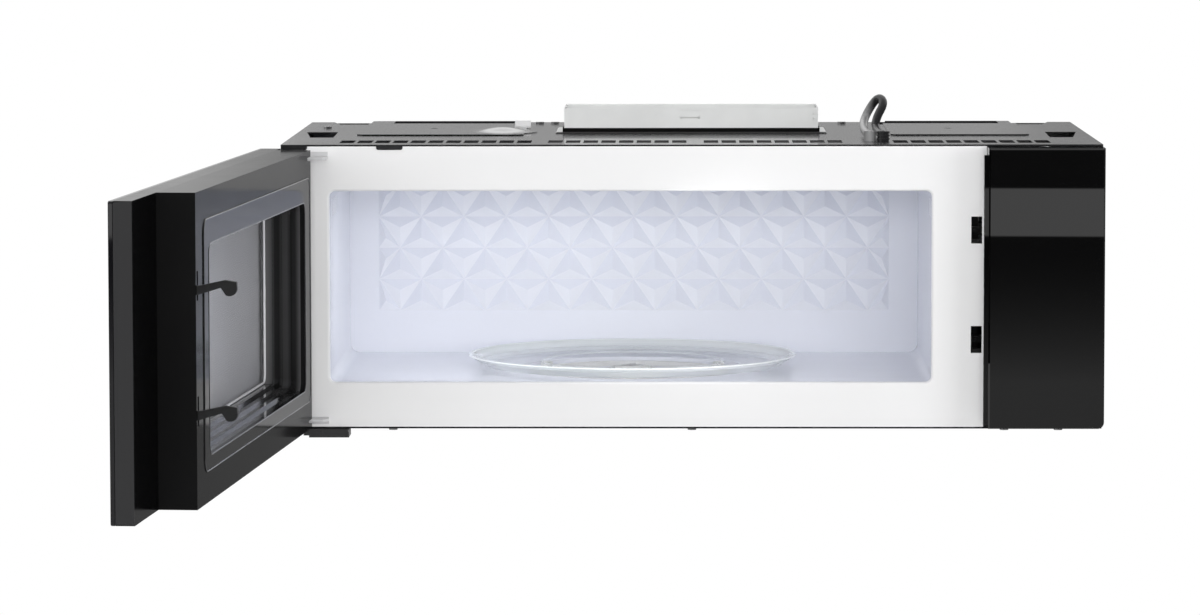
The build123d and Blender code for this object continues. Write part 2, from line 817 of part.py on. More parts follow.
keep(magnetron_yoke.part, "magnetron_yoke")

anode_z = (yoke_z[0] + yoke_sheet, yoke_z[1] - yoke_sheet)
fin_margin = 4.5
fin_pitch = (anode_z[1] - anode_z[0] - 2 * fin_margin - fin_sheet) / (fin_count - 1)
with BuildPart() as magnetron_fins:
    with BuildSketch(level(anode_z[0])):
        with Locations(antenna_place):
            Circle(anode_radius)
    extrude(amount=anode_z[1] - anode_z[0])
    with BuildSketch(level(anode_z[1])):
        with Locations(antenna_place):
            Circle(antenna_radius)
    extrude(amount=yoke_sheet + 16)
    for k in range(fin_count):
        with BuildSketch(level(anode_z[0] + fin_margin + k * fin_pitch)):
            with Locations(antenna_place):
                Rectangle(2 * (yoke_half[0] - yoke_sheet - 2), 2 * (yoke_half[1] - 4))
        extrude(amount=fin_sheet)
keep(magnetron_fins.part, "magnetron_fins")

# transformer and capacitor on the base
core_x = (282.0, 362.0)
core_y = (front + 96, front + 180)
core_top = 68.0
core_limb = 14.0  # outer limbs of the core, and half of its middle limb
core_window = 19.0
limb_start = core_limb + core_window
with BuildPart() as transformer_core:
    block(core_x, core_y, (sheet, core_top))
    for window in (
        (core_x[0] + core_limb, core_x[0] + limb_start),
        (core_x[1] - limb_start, core_x[1] - core_limb),
    ):
        block(window, core_y, (sheet + core_limb, core_top - core_limb), mode=Mode.SUBTRACT)
keep(transformer_core.part, "transformer_core")

winding_margin = 0.4
with BuildPart() as transformer_windings:
    block(
        (core_x[0] + core_limb + winding_margin, core_x[1] - core_limb - winding_margin),
        (core_y[0] - core_limb, core_y[1] + core_limb),
        (sheet + core_limb + winding_margin, core_top - core_limb - winding_margin),
    )
    fillet(transformer_windings.edges().filter_by(Axis.X), 6.0)
    block(
        (core_x[0] + limb_start - winding_margin, core_x[1] - limb_start + winding_margin),
        (core_y[0] - winding_margin, core_y[1] + winding_margin),
        (sheet + core_limb - 1, core_top - core_limb + 1),
        mode=Mode.SUBTRACT,
    )
keep(transformer_windings.part, "transformer_windings")

capacitor_place = (320.0, front + 214.0)
capacitor_size = (56.0, 34.0, 62.0)
terminal_offset = 12.0
capacitor_top = sheet + capacitor_size[2]
with BuildPart() as hv_capacitor:
    with BuildSketch(level(sheet)):
        with Locations(capacitor_place):
            SlotOverall(capacitor_size[0], capacitor_size[1])
    extrude(amount=capacitor_size[2])
    for side in (-1, 1):
        with Locations((capacitor_place[0] + side * terminal_offset, capacitor_place[1], capacitor_top)):
            Box(6, 1, 9, align=(Align.CENTER, Align.CENTER, Align.MIN))
keep(hv_capacitor.part, "hv_capacitor")

# cooling fan behind the magnetron
fan_x = 298.0
fan_z = 118.0
fan_radius = 50.0
fan_wall_gap = 80.0
fan_y = -fan_wall_gap
fan_shaft = 2.5
shroud_half = 62.0
shroud_back = fan_y + 24.0
fan_motor_length = 30.0
with BuildPart() as fan_shroud:
    block((fan_x - shroud_half, fan_x + shroud_half), (shroud_back, shroud_back + 2), (sheet, fan_z + shroud_half))
    with Locations(Location((fan_x, fan_y - 2, fan_z), (-90, 0, 0))):
        Cylinder(fan_radius + 5, shroud_back - fan_y + 2, align=(Align.CENTER, Align.CENTER, Align.MIN))
    with Locations(Location((fan_x, fan_y - 4, fan_z), (-90, 0, 0))):
        Cylinder(
            fan_radius + 3,
            shroud_back - fan_y + 8,
            align=(Align.CENTER, Align.CENTER, Align.MIN),
            mode=Mode.SUBTRACT,
        )
    # two arms that carry the motor
    block((fan_x - shroud_half, fan_x + shroud_half), (shroud_back + 2, shroud_back + 4), (fan_z - 6, fan_z + 6))
    with Locations(Location((fan_x, shroud_back, fan_z), (-90, 0, 0))):
        Cylinder(
            fan_shaft + 2, 6, align=(Align.CENTER, Align.CENTER, Align.MIN), mode=Mode.SUBTRACT
        )
keep(fan_shroud.part, "fan_shroud")

motor_front = shroud_back + 4
motor_core = (52.0, 18.0, 48.0)
with BuildPart() as fan_motor:
    block(
        (fan_x - motor_core[0] / 2, fan_x + motor_core[0] / 2),
        (motor_front, motor_front + motor_core[1]),
        (fan_z - motor_core[2] / 2, fan_z + motor_core[2] / 2),
    )
    with Locations(Location((fan_x, motor_front, fan_z), (-90, 0, 0))):
        Cylinder(15, fan_motor_length, align=(Align.CENTER, Align.CENTER, Align.MIN))
        Cylinder(
            fan_shaft + running_gap,
            20,
            align=(Align.CENTER, Align.CENTER, Align.MIN),
            mode=Mode.SUBTRACT,
        )
keep(fan_motor.part, "fan_motor")

fan_blades = 5
fan_hub = 13.0
blade_pitch = 32.0  # degrees
blade_chord = 20.0
blade_thickness = 1.4
with BuildPart() as fan_blade:
    with Locations(Location((fan_x, fan_y, fan_z), (-90, 0, 0))):
        Cylinder(fan_hub, 16, align=(Align.CENTER, Align.CENTER, Align.MIN))
        Cylinder(
            fan_shaft, motor_front + motor_core[1] - fan_y, align=(Align.CENTER, Align.CENTER, Align.MIN)
        )
    for k in range(fan_blades):
        turn = radians(k * 360 / fan_blades)
        outward = Vector(cos(turn), 0, sin(turn))
        across = Vector(-sin(turn), 0, cos(turn)) * cos(radians(blade_pitch))
        blade_plane = Plane(
            origin=Vector(fan_x, fan_y + 8, fan_z) + outward * (fan_hub - 1),
            x_dir=across + Vector(0, sin(radians(blade_pitch)), 0),
            z_dir=outward,
        )
        with BuildSketch(blade_plane):
            Rectangle(blade_chord, blade_thickness)
        extrude(amount=fan_radius - 2 - fan_hub + 1)
keep(fan_blade.part, "fan_blade")

# ---------------------------------------------------------------- extraction blower and plenum
plenum_front = front + duct_front + 2


def blower_hollow(inset):
    """The scroll, its upright outlet and the plenum that runs forward over the cavity, in the open part."""
    long = 2 * (scroll_half_length - inset)
    mode = Mode.SUBTRACT if inset else Mode.ADD
    rear = scroll_y + scroll_radius - inset
    top = cabinet_top - inset
    sideways = (inset - scroll_half_length, scroll_half_length - inset)
    with Locations(Location((0, scroll_y, scroll_height), (0, 90, 0))):
        Cylinder(scroll_radius - inset, long, mode=mode)
    block(sideways, (scroll_y + inset, rear), (scroll_height, top), mode=mode)
    block(sideways, (plenum_front + inset, rear), (plenum_floor + inset, top), mode=mode)


with BuildPart() as blower_housing:
    blower_hollow(0)
    blower_hollow(blower_wall)
    for side in (-1, 1):
        with Locations(Location((side * (scroll_half_length - 3), scroll_y, scroll_height), (0, 90, 0))):
            Cylinder(inlet_radius, 12, mode=Mode.SUBTRACT)
    with BuildSketch(level(cabinet_top - blower_wall)):
        with Locations((0, duct_middle)):
            Rectangle(duct_width - 2 * gasket_width, duct_depth - 2 * gasket_width)
    extrude(amount=blower_wall, mode=Mode.SUBTRACT)
keep(blower_housing.part, "blower_housing")

with BuildPart() as blower_motor:
    with Locations(Location((0, scroll_y, scroll_height), (0, 90, 0))):
        Cylinder(blower_motor_radius, blower_motor_length)
        Cylinder(scroll_radius - blower_wall - fit_gap / 2, 3.0)
        Cylinder(blower_shaft + running_gap, blower_motor_length, mode=Mode.SUBTRACT)
keep(blower_motor.part, "blower_motor")

wheel_start = blower_motor_length / 2 + 6
wheel_length = scroll_half_length - blower_wall - wheel_end_gap - wheel_start
with BuildPart() as blower_wheels:
    with Locations(Location((0, scroll_y, scroll_height), (0, 90, 0))):
        Cylinder(blower_shaft, 2 * (wheel_start + wheel_length) + 4)
    for side in (-1, 1):
        wheel_plane = Plane(
            origin=(side * wheel_start, scroll_y, scroll_height), x_dir=(0, 1, 0), z_dir=(side, 0, 0)
        )
        with BuildSketch(wheel_plane):
            Circle(wheel_radius)
        extrude(amount=1.2)
        with BuildSketch(wheel_plane):
            Circle(8)
        extrude(amount=14)
        with BuildSketch(wheel_plane.offset(wheel_length - 2)):
            Circle(wheel_radius)
            Circle(wheel_radius - blade_depth, mode=Mode.SUBTRACT)
        extrude(amount=2)
        with BuildSketch(wheel_plane.offset(1.2)):
            with PolarLocations(wheel_radius - blade_depth / 2 - 0.3, blade_count):
                Rectangle(blade_depth, blade_sheet, rotation=35)
        extrude(amount=wheel_length - 3.2)
keep(blower_wheels.part, "blower_wheels")

# ---------------------------------------------------------------- duct adaptor on the top
ledge = 2.5
flap_sheet = 0.9
flap_level = duct_bottom + ledge
hinge_back = duct_middle + duct_depth / 2 - 6.0
with BuildPart() as duct_flange:
    with BuildSketch(level(height)):
        with Locations((0, duct_middle)):
            Rectangle(duct_width + 2 * flange_margin, duct_depth + 2 * flange_margin)
            Rectangle(
                duct_width - 2 * gasket_width, duct_depth - 2 * gasket_width, mode=Mode.SUBTRACT
            )
    extrude(amount=flange_sheet)
    chamfer(duct_flange.faces().sort_by(Axis.Z)[-1].outer_wire().edges(), 0.9)
keep(duct_flange.part, "duct_flange")

with BuildPart() as damper_gasket:
    with BuildSketch(level(gasket_bottom)):
        with Locations((0, duct_middle)):
            Rectangle(duct_width + 3, duct_depth)
            Rectangle(
                duct_width - 2 * gasket_width, duct_depth - 2 * gasket_width, mode=Mode.SUBTRACT
            )
    extrude(amount=gasket_height)
keep(damper_gasket.part, "damper_gasket")

notch_width = 19.0
notch_depth = 2.8
dip_width = 22.0
dip_offset = 87.0
with BuildPart() as damper_frame:
    with BuildSketch(level(duct_bottom)):
        with Locations((0, duct_middle)):
            Rectangle(duct_width, duct_depth)
            Rectangle(
                duct_width - 2 * duct_wall, duct_depth - 2 * duct_wall, mode=Mode.SUBTRACT
            )
    extrude(amount=duct_rise)
    # inner ledge that the flap shuts on
    with BuildSketch(level(duct_bottom)):
        with Locations((0, duct_middle)):
            Rectangle(duct_width - duct_wall, duct_depth - duct_wall)
            Rectangle(
                duct_width - 2 * gasket_width, duct_depth - 2 * gasket_width, mode=Mode.SUBTRACT
            )
    extrude(amount=duct_wall)
    block(
        (-duct_width / 2 + gasket_width, duct_width / 2 - gasket_width),
        (front + duct_front + duct_wall, front + duct_front + gasket_width),
        (duct_bottom, duct_bottom + ledge - fit_gap / 2),
    )
    # front wall: the middle notch, a punched tab below it and two shallow dips in the edge
    with BuildSketch(facing_front(front + duct_front + duct_wall)):
        with Locations((-1, duct_top - notch_depth / 2)):
            Rectangle(notch_width, notch_depth)
        with Locations((-dip_offset, duct_top - 0.4), (dip_offset, duct_top - 0.4)):
            Rectangle(dip_width, 0.8)
        with Locations((-1, duct_bottom + 10.0)):
            Rectangle(17.0, 1.0)
        with Locations((-9.5, duct_bottom + 10.0), (7.5, duct_bottom + 10.0)):
            RegularPolygon(1.6, 8)
        with Locations((duct_width / 2 - 4.5, duct_bottom + 8.5), (duct_width / 2 - 4.5, duct_bottom + 13.5)):
            RegularPolygon(1.1, 8)
    extrude(amount=duct_wall, mode=Mode.SUBTRACT)
    with Locations(Location((0, hinge_back, flap_level + 1.6), (0, 90, 0))):
        Cylinder(flap_pin + running_gap, duct_width + 10, mode=Mode.SUBTRACT)
keep(damper_frame.part, "damper_frame")

flap_half = duct_width / 2 - duct_wall - flap_gap
with BuildPart() as damper_flap:
    block(
        (-flap_half, flap_half),
        (front + duct_front + duct_wall + flap_inset, hinge_back),
        (flap_level, flap_level + flap_sheet),
    )
    block((-flap_half, flap_half), (hinge_back - 2.5, hinge_back + 2.5), (flap_level, flap_level + 3.2))
    for k in range(3):
        x = (k - 1) * 70.0
        block((x - 2, x + 2), (front + duct_front + 16, hinge_back - 2), (flap_level, flap_level + 2.2))
    with Locations(Location((0, hinge_back, flap_level + 1.6), (0, 90, 0))):
        Cylinder(flap_pin, duct_width)
keep(damper_flap.part, "damper_flap")

# ---------------------------------------------------------------- filters and lamps
charcoal_size = (300.0, 62.0, 16.0)
charcoal_y = front + vent_front + vent_length / 2
charcoal_cells = 12
cell_pitch = 24.0
cell_size = (19.0, 52.0)
cell_depth = 3.0
with BuildPart() as charcoal_filter:
    block(
        (-charcoal_size[0] / 2, charcoal_size[0] / 2),
        (charcoal_y - charcoal_size[1] / 2, charcoal_y + charcoal_size[1] / 2),
        (cabinet_top - charcoal_size[2], cabinet_top),
    )
    with BuildSketch(level(cabinet_top - charcoal_size[2])):
        with Locations((0, charcoal_y)):
            with GridLocations(cell_pitch, 0, charcoal_cells, 1):
                Rectangle(*cell_size)
    extrude(amount=cell_depth, mode=Mode.SUBTRACT)
keep(charcoal_filter.part, "charcoal_filter")

filter_border = 7.0
filter_dish = 1.4
half_pitch = filter_size[0] / 2 - filter_border + 1.0  # between the middles of the two dished fields
for place, name in zip(filter_places, ("grease_filter_left", "grease_filter_right")):
    with BuildPart() as grease_filter:
        with BuildSketch(level(0)):
            with Locations(place):
                Rectangle(*filter_size)
        extrude(amount=filter_thickness)
        with BuildSketch(level(0)):
            with Locations(place):
                with GridLocations(half_pitch, 0, 2, 1):
                    Rectangle(half_pitch - filter_border + 1.0, filter_size[1] - 2 * filter_border)
        extrude(amount=filter_dish, mode=Mode.SUBTRACT)
        with BuildSketch(level(filter_thickness - filter_dish)):
            with Locations(place):
                Rectangle(filter_size[0] - 2 * filter_border, filter_size[1] - 2 * filter_border)
        extrude(amount=filter_dish, mode=Mode.SUBTRACT)
    keep(grease_filter.part, name)

lamp_cup_height = 18.0
with BuildPart() as lamp_covers:
    with BuildSketch(level(0)):
        with Locations(*lamp_places):
            Rectangle(*lamp_size)
    extrude(amount=2.0)
keep(lamp_covers.part, "lamp_covers")

with BuildPart() as cooktop_lamps:
    with BuildSketch(level(sheet)):
        with Locations(*lamp_places):
            Rectangle(lamp_size[0] + 8, lamp_size[1] + 8)
    extrude(amount=lamp_cup_height)
    with BuildSketch(level(sheet)):
        with Locations(*lamp_places):
            Rectangle(lamp_size[0] + 5, lamp_size[1] + 5)
    extrude(amount=lamp_cup_height - 1.5, mode=Mode.SUBTRACT)
    with Locations(*((x, y, lamp_cup_height - 0.5) for x, y in lamp_places)):
        Cylinder(7.0, 9.0, align=(Align.CENTER, Align.CENTER, Align.MAX))
keep(cooktop_lamps.part, "cooktop_lamps")

# ---------------------------------------------------------------- hinges
def hinge_bracket(bottom, pin_up):
    """A white plate on the front plate that carries the door's pin."""
    bracket_end = bottom + bracket_sheet + flange_height
    with BuildPart() as bracket:
        with BuildSketch(level(bottom)) as plate:
            with Locations((hinge_x + (bracket_inner - bracket_side) / 2, (front + hinge_y - bracket_reach) / 2)):
                Rectangle(bracket_inner + bracket_side, hinge_forward + bracket_reach)
            chamfer(plate.vertices().group_by(Axis.Y)[0], 4.0)
        extrude(amount=bracket_sheet)
        # turned edge against the front plate, on the side away from the pin
        turned = (bottom - flange_height, bottom) if pin_up else (bottom + bracket_sheet, bracket_end)
        block((hinge_x + 4, hinge_x + bracket_inner), (front - 1.2, front), turned)
        with BuildSketch(level(bottom + bracket_sheet if pin_up else bottom)):
            with Locations((hinge_x, hinge_y)):
                Circle(hinge_pin)
        extrude(amount=pin_length if pin_up else -pin_length)
    return bracket.part


keep(hinge_bracket(upper_bracket, False), "hinge_bracket_upper")
keep(hinge_bracket(lower_bracket, True), "hinge_bracket_lower")

foot_x = (-354.5, -317.5)
foot_height = 8.0
with BuildPart() as hinge_foot:
    with BuildSketch(facing_front(front + 26)) as foot_outline:
        with Locations((middle(foot_x), -foot_height / 2)):
            Rectangle(foot_x[1] - foot_x[0], foot_height)
        fillet(foot_outline.vertices().group_by(Axis.X)[-1].sort_by(Axis.Z)[0], 4.0)
    extrude(amount=31)
    block((foot_x[0] - 5, foot_x[0] + 4), (front - 6, front - 1), (-foot_height + 2, 0))
keep(hinge_foot.part, "hinge_foot")

screw_head = 4.0
screw_rise = 2.0
under_screws = [(-277.0, front + 9), (0.5, front + 9), (290.0, front + 9), (340.0, front + 9)]
top_screws = [(-150.0, -35.0), (-135.0, -35.0), (150.0, -35.0), (-356.0, -120.0)]
with BuildPart() as case_screws:
    with Locations(*((x, y, 0) for x, y in under_screws)):
        Cylinder(screw_head, screw_rise, align=(Align.CENTER, Align.CENTER, Align.MAX))
    with Locations(*((x, y, height) for x, y in top_screws)):
        Cylinder(screw_head, screw_rise, align=(Align.CENTER, Align.CENTER, Align.MIN))
keep(case_screws.part, "case_screws")

# ---------------------------------------------------------------- door
skin_middle = ((skin_start + skin_end) / 2, (door_bottom + door_top) / 2)
skin_size = (skin_end - skin_start, door_top - door_bottom)
window_size = (window_end - window_start, window_top - window_bottom)
window_middle = ((window_start + window_end) / 2, (window_bottom + window_top) / 2)
ring_size = (ring_end - ring_start, ring_top - ring_bottom)
ring_middle = ((ring_start + ring_end) / 2, (ring_bottom + ring_top) / 2)
glass_back = -skin_front + glass_thickness
lip_start = body_end - 14.0
choke_back = body_back - body_wall - 2.0
choke_front = body_back - window_depth

with BuildPart(door) as door_glass:
    with BuildSketch(door_face(glass_back)):
        with Locations(skin_middle):
            RectangleRounded(*skin_size, 2.0)
    extrude(amount=glass_thickness)
    chamfer(door_glass.edges().group_by(SortBy.LENGTH)[-1], 0.6)
keep(door_glass.part, "door_glass")

with BuildPart(door) as door_outer_frame:
    with BuildSketch(door_face(-skin_back)):
        with Locations(skin_middle):
            RectangleRounded(*skin_size, 2.0)
    extrude(amount=skin_thickness - glass_thickness)
    # hollow behind the glass: the window side and the lip that holds the touch board
    hollow = skin_thickness - glass_thickness - skin_wall
    with BuildSketch(door_face(-skin_back - skin_wall)):
        for start, end in ((skin_start + skin_wall, lip_start), (lip_start + skin_wall, skin_end - skin_wall)):
            with Locations(((start + end) / 2, skin_middle[1])):
                Rectangle(end - start, skin_size[1] - 2 * skin_wall)
    extrude(amount=hollow, mode=Mode.SUBTRACT)
    # opening for the window
    with BuildSketch(door_face(-skin_back)):
        with Locations(window_middle):
            Rectangle(window_size[0] + 2 * choke_wall + 8, window_size[1] + 2 * choke_wall + 8)
    extrude(amount=skin_wall, mode=Mode.SUBTRACT)
keep(door_outer_frame.part, "door_outer_frame")

edge_cut = 5.0
arm_slot_radius = 31.5
arm_slot_gap = 0.8
relief_reach = bracket_reach + 1.5
with BuildPart(door) as door_inner_frame:
    block((body_start, body_end), (-skin_back, body_back), (door_bottom, door_top))
    # hollow, open towards the outer skin
    block(
        (body_start + body_wall, body_end - body_wall),
        (-skin_back, body_back - body_wall),
        (door_bottom + body_wall, door_top - body_wall),
        mode=Mode.SUBTRACT,
    )
    # opening that the seal ring and the window liner fill
    with BuildSketch(door_face(body_back)):
        with Locations(ring_middle):
            RectangleRounded(ring_size[0] + 2 * fit_gap, ring_size[1] + 2 * fit_gap, ring_corner + fit_gap)
    extrude(amount=body_wall, mode=Mode.SUBTRACT)
    # slots for the latch hooks
    with BuildSketch(door_face(body_back)):
        with Locations(*((hook_u, hook_height - k * hook_pitch + slot_lift) for k in range(2))):
            Rectangle(hook_width + 2, slot_height - 1)
    extrude(amount=body_wall, mode=Mode.SUBTRACT)
    # relief that the hinge brackets swing in, at both ends
    for bottom in (upper_bracket, lower_bracket):
        with BuildSketch(door.offset(bottom - arm_slot_gap)):
            Circle(arm_slot_radius)
            with Locations((0, -relief_reach - 30)):
                Rectangle(100, 60, mode=Mode.SUBTRACT)
        extrude(amount=bracket_sheet + 2 * arm_slot_gap, mode=Mode.SUBTRACT)
    # knuckles that turn on the brackets' pins
    upper_knuckle = upper_bracket - fit_gap - knuckle
    lower_knuckle = lower_bracket + bracket_sheet + fit_gap
    for bottom in (upper_knuckle, lower_knuckle):
        with BuildSketch(door.offset(bottom)):
            Circle(knuckle_radius)
            with Locations(((body_start + body_wall) / 2, -skin_back / 2)):
                Rectangle(body_start + body_wall, skin_back)
        extrude(amount=knuckle)
        with BuildSketch(door.offset(bottom)):
            Circle(hinge_pin + running_gap)
        extrude(amount=knuckle, mode=Mode.SUBTRACT)
    # shelf under the latch bar, stop over its spring, and posts for the liner
    latch_floor = hook_height - hook_pitch - 26
    spring_top = hook_height + 46
    block((body_end - 14, body_end - body_wall), (-2, body_back - body_wall), (latch_floor - 3, latch_floor))
    block((body_end - 14, body_end - body_wall), (-2, body_back - body_wall), (spring_top, spring_top + 3))
keep(door_inner_frame.part, "door_inner_frame")

with BuildPart(door) as door_seal_ring:
    with BuildSketch(door_face(body_back + ring_proud)):
        with Locations(ring_middle):
            RectangleRounded(*ring_size, ring_corner)
        with Locations(window_middle):
            RectangleRounded(*window_size, ring_corner - 2, mode=Mode.SUBTRACT)
    extrude(amount=body_back + ring_proud - choke_back)
    chamfer(door_seal_ring.faces().sort_by(Axis(door.origin, door.y_dir))[-1].edges(), 0.8)
keep(door_seal_ring.part, "door_seal_ring")

# stepped window liner, narrowing towards the glass
liner_depth = choke_back - choke_front
with BuildPart(door) as door_choke:
    with BuildSketch(door_face(choke_back)):
        with Locations(window_middle):
            RectangleRounded(
                window_size[0] + 2 * choke_wall, window_size[1] + 2 * choke_wall, ring_corner
            )
    extrude(amount=liner_depth)
    for k in range(choke_steps):
        inset = k * choke_step
        with BuildSketch(door_face(choke_back - k * liner_depth / choke_steps)):
            with Locations(window_middle):
                RectangleRounded(
                    window_size[0] - 2 * inset, window_size[1] - 2 * inset, ring_corner - 2 - k
                )
        extrude(amount=liner_depth / choke_steps, mode=Mode.SUBTRACT)
keep(door_choke.part, "door_choke")

with BuildPart(door) as window_glass:
    with BuildSketch(door_face(choke_front)):
        with Locations(window_middle):
            Rectangle(window_size[0] + 2 * choke_wall, window_size[1] + 2 * choke_wall)
    extrude(amount=pane)
keep(window_glass.part, "window_glass")

with BuildPart(door) as window_screen:
    with BuildSketch(door_face(choke_front - pane)):
        with Locations(window_middle):
            Rectangle(window_size[0] + 2 * choke_wall, window_size[1] + 2 * choke_wall)
    extrude(amount=screen)
keep(window_screen.part, "window_screen")

touch_z = (30.0, 234.0)
display_z = (150.0, 190.0)
display_thickness = 5.0
with BuildPart(door) as touch_board:
    block((lip_start + 20, skin_end - 8), (glass_back, glass_back + board_sheet), touch_z)
    block((lip_start + 40, skin_end - 30), (glass_back, glass_back + display_thickness), display_z)
keep(touch_board.part, "touch_board")

# latch bar with its two hooks
bar_back = body_back - body_wall - fit_gap
bar_top = hook_height + 28
spring_radius = 3.4
spring_bottom = bar_top
with BuildPart(door) as latch_bar:
    block(
        (hook_u - hook_width / 2, hook_u + hook_width / 2),
        (bar_back - 9, bar_back),
        (latch_floor + fit_gap, bar_top),
    )
    side_plane = Plane(
        origin=door.from_local_coords((hook_u - hook_width / 2, 0, 0)), x_dir=door.y_dir, z_dir=door.x_dir
    )
    for k in range(2):
        z = hook_height - k * hook_pitch
        tip = body_back + hook_reach
        with BuildSketch(side_plane):
            with BuildLine():
                Polyline(
                    (bar_back - 3, z + 1.8),
                    (body_back + 0.5, z + 1.8),
                    (tip - 9.8, z + 6.6),
                    (tip - 0.4, z + 5.2),
                    (tip, z - 0.4),
                )
                ThreePointArc((tip, z - 0.4), (tip - 3.0, z - 5.4), (tip - 9.0, z - 5.6))
                Polyline(
                    (tip - 9.0, z - 5.6),
                    (tip - 13.2, z + 0.4),
                    (body_back + 0.4, z - 5.4),
                    (bar_back - 3, z - 5.4),
                    (bar_back - 3, z + 1.8),
                )
            make_face()
        extrude(amount=hook_width)
keep(latch_bar.part, "latch_bar")

spring_turns = 4
spring_wire = 0.5
spring_gap = 0.3
spring_length = spring_top - bar_top - 2 * spring_gap - 2 * spring_wire
spring_place = door.from_local_coords((hook_u, bar_back - 4.5, bar_top + spring_gap + spring_wire))
spring_plane = Plane(origin=spring_place, x_dir=door.x_dir, z_dir=(0, 0, 1))
with BuildPart() as latch_spring:
    with BuildLine(spring_plane) as coil:
        Helix(spring_length / spring_turns, spring_length, spring_radius)
    with BuildSketch(Plane(origin=coil.line @ 0, z_dir=coil.line % 0)):
        Rectangle(2 * spring_wire, 2 * spring_wire)
    sweep(path=coil.line, is_frenet=True)
keep(latch_spring.part, "latch_spring")

# ---------------------------------------------------------------- power cord
# The route leaves a bush at the front, runs back along the top plate, stands up in a loop and comes back.
cord_rest = height + neck_radius + 0.1
cord_route = [
    (bush_places[0], front + bush_depth + neck_reach, cord_rest),
    (175.6, front + 158.0, cord_rest),
    (175.5, front + 158.0, 279.0),
    (184.8, front + 162.0, 295.6),
    (176.8, front + 176.0, 300.3),
    (160.3, front + 184.0, cord_rest),
    (bush_places[1], front + bush_depth + neck_reach, cord_rest),
]

cord_points = [Vector(*point) for point in cord_route]
cord_radii = []
for before, here, after in zip(cord_points, cord_points[1:], cord_points[2:]):
    turn = radians((here - before).get_angle(after - here))
    shorter = min((here - before).length, (after - here).length)
    cord_radii.append(min(12.0, 0.45 * shorter / tan(turn / 2)))
print("cord radii", [round(radius, 1) for radius in cord_radii])

with BuildPart() as power_cord:
    with BuildLine() as route:
        FilletPolyline(*cord_points, radius=cord_radii)
    with BuildSketch(Plane(origin=cord_points[0], z_dir=cord_points[1] - cord_points[0])):
        Circle(cord_diameter / 2)
    sweep(path=route.line)
cord_length = sum(edge.length for edge in route.edges())
cord_ratio = power_cord.part.volume / (pi * (cord_diameter / 2) ** 2 * cord_length)
print("cord length", round(cord_length, 1), "volume over section times length", round(cord_ratio, 4))
keep(power_cord.part, "power_cord")

# Rubber bushes seated in the top plate, each with a sideways neck that the cord leaves; the first is ribbed.
rib_counts = (3, 0)
rib_rise = 0.9
with BuildPart() as cord_bushes:
    ends = ((cord_points[0], cord_points[1]), (cord_points[-1], cord_points[-2]))
    for place, (tip, onward), rib_count in zip(bush_centres, ends, rib_counts):
        with BuildSketch(level(cabinet_top)):
            with Locations(place):
                Circle(bush_plug)
        extrude(amount=sheet)
        with BuildSketch(level(height)):
            with Locations(place):
                Circle(bush_radius)
        extrude(amount=bush_height)
        with BuildSketch(Plane(origin=tip, z_dir=tip - onward)):
            Circle(neck_radius)
        extrude(amount=neck_reach)
        for k in range(rib_count):
            with BuildSketch(level(height + (k + 0.5) * bush_height / rib_count)):
                with Locations(place):
                    Circle(bush_radius + rib_rise)
            extrude(amount=1.2)
keep(cord_bushes.part, "cord_bushes")

print(len(pieces), "pieces")
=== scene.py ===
from math import cos, pi, radians, sin

import bpy
from mathutils import Matrix, Vector


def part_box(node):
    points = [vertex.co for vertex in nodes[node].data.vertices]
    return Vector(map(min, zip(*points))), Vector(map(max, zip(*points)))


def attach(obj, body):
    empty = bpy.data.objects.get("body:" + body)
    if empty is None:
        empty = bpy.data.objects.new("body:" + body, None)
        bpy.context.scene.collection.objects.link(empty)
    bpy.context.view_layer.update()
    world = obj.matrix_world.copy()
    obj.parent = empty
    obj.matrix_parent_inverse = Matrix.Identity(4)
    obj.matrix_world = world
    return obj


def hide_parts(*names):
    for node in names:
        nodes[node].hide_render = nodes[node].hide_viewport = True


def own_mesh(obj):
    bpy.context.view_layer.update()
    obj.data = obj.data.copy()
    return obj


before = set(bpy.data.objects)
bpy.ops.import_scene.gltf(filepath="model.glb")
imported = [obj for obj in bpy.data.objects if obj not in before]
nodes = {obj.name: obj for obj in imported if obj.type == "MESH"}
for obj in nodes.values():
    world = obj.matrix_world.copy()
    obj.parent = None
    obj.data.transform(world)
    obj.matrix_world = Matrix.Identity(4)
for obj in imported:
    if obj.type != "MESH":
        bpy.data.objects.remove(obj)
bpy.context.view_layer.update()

scene = bpy.context.scene

# Metres throughout, in the CAD frame: X to the right, Y toward the wall, Z up.
DOOR_OPEN = radians(94.5)  # how far the door stands open at rest
HINGE = (-0.3622, -0.4349)  # X and Y of its hinge axis
PANE_DEPTH = -0.0232  # the pane's edge, measured back from the hinge axis with the door shut
RING_DEPTH = 0.0132  # the seal ring's face, measured likewise
PLATE_TOP = 0.2634  # the top plate's upper face
PAD_TOP = PLATE_TOP + 0.0013  # its raised pads
WHITE = (1, 1, 1, 1)

# ---------------------------------------------------------------- camera
# fitted to the straight edges in the photograph
PITCH = 0.084648
YAW = 0.015639
ROLL = -0.001347
CAMERA_PLACE = (-0.00857, -5.28214, 0.52514)
SENSOR_WIDTH = 36  # mm
LENS = 158.21  # mm
CLIP_END = 60


def add_camera():
    forward = Vector((-sin(YAW) * cos(PITCH), cos(YAW) * cos(PITCH), -sin(PITCH)))
    level_right = Vector((cos(YAW), sin(YAW), 0))
    level_up = level_right.cross(forward)
    right = level_right * cos(ROLL) + level_up * sin(ROLL)
    up = level_up * cos(ROLL) - level_right * sin(ROLL)
    data = bpy.data.cameras.new("camera")
    data.sensor_width = SENSOR_WIDTH
    data.lens = LENS
    data.clip_end = CLIP_END
    camera = bpy.data.objects.new("camera", data)
    turn = Matrix((right, up, -forward)).transposed().to_4x4()
    camera.matrix_world = Matrix.Translation(CAMERA_PLACE) @ turn
    scene.collection.objects.link(camera)
    scene.camera = camera


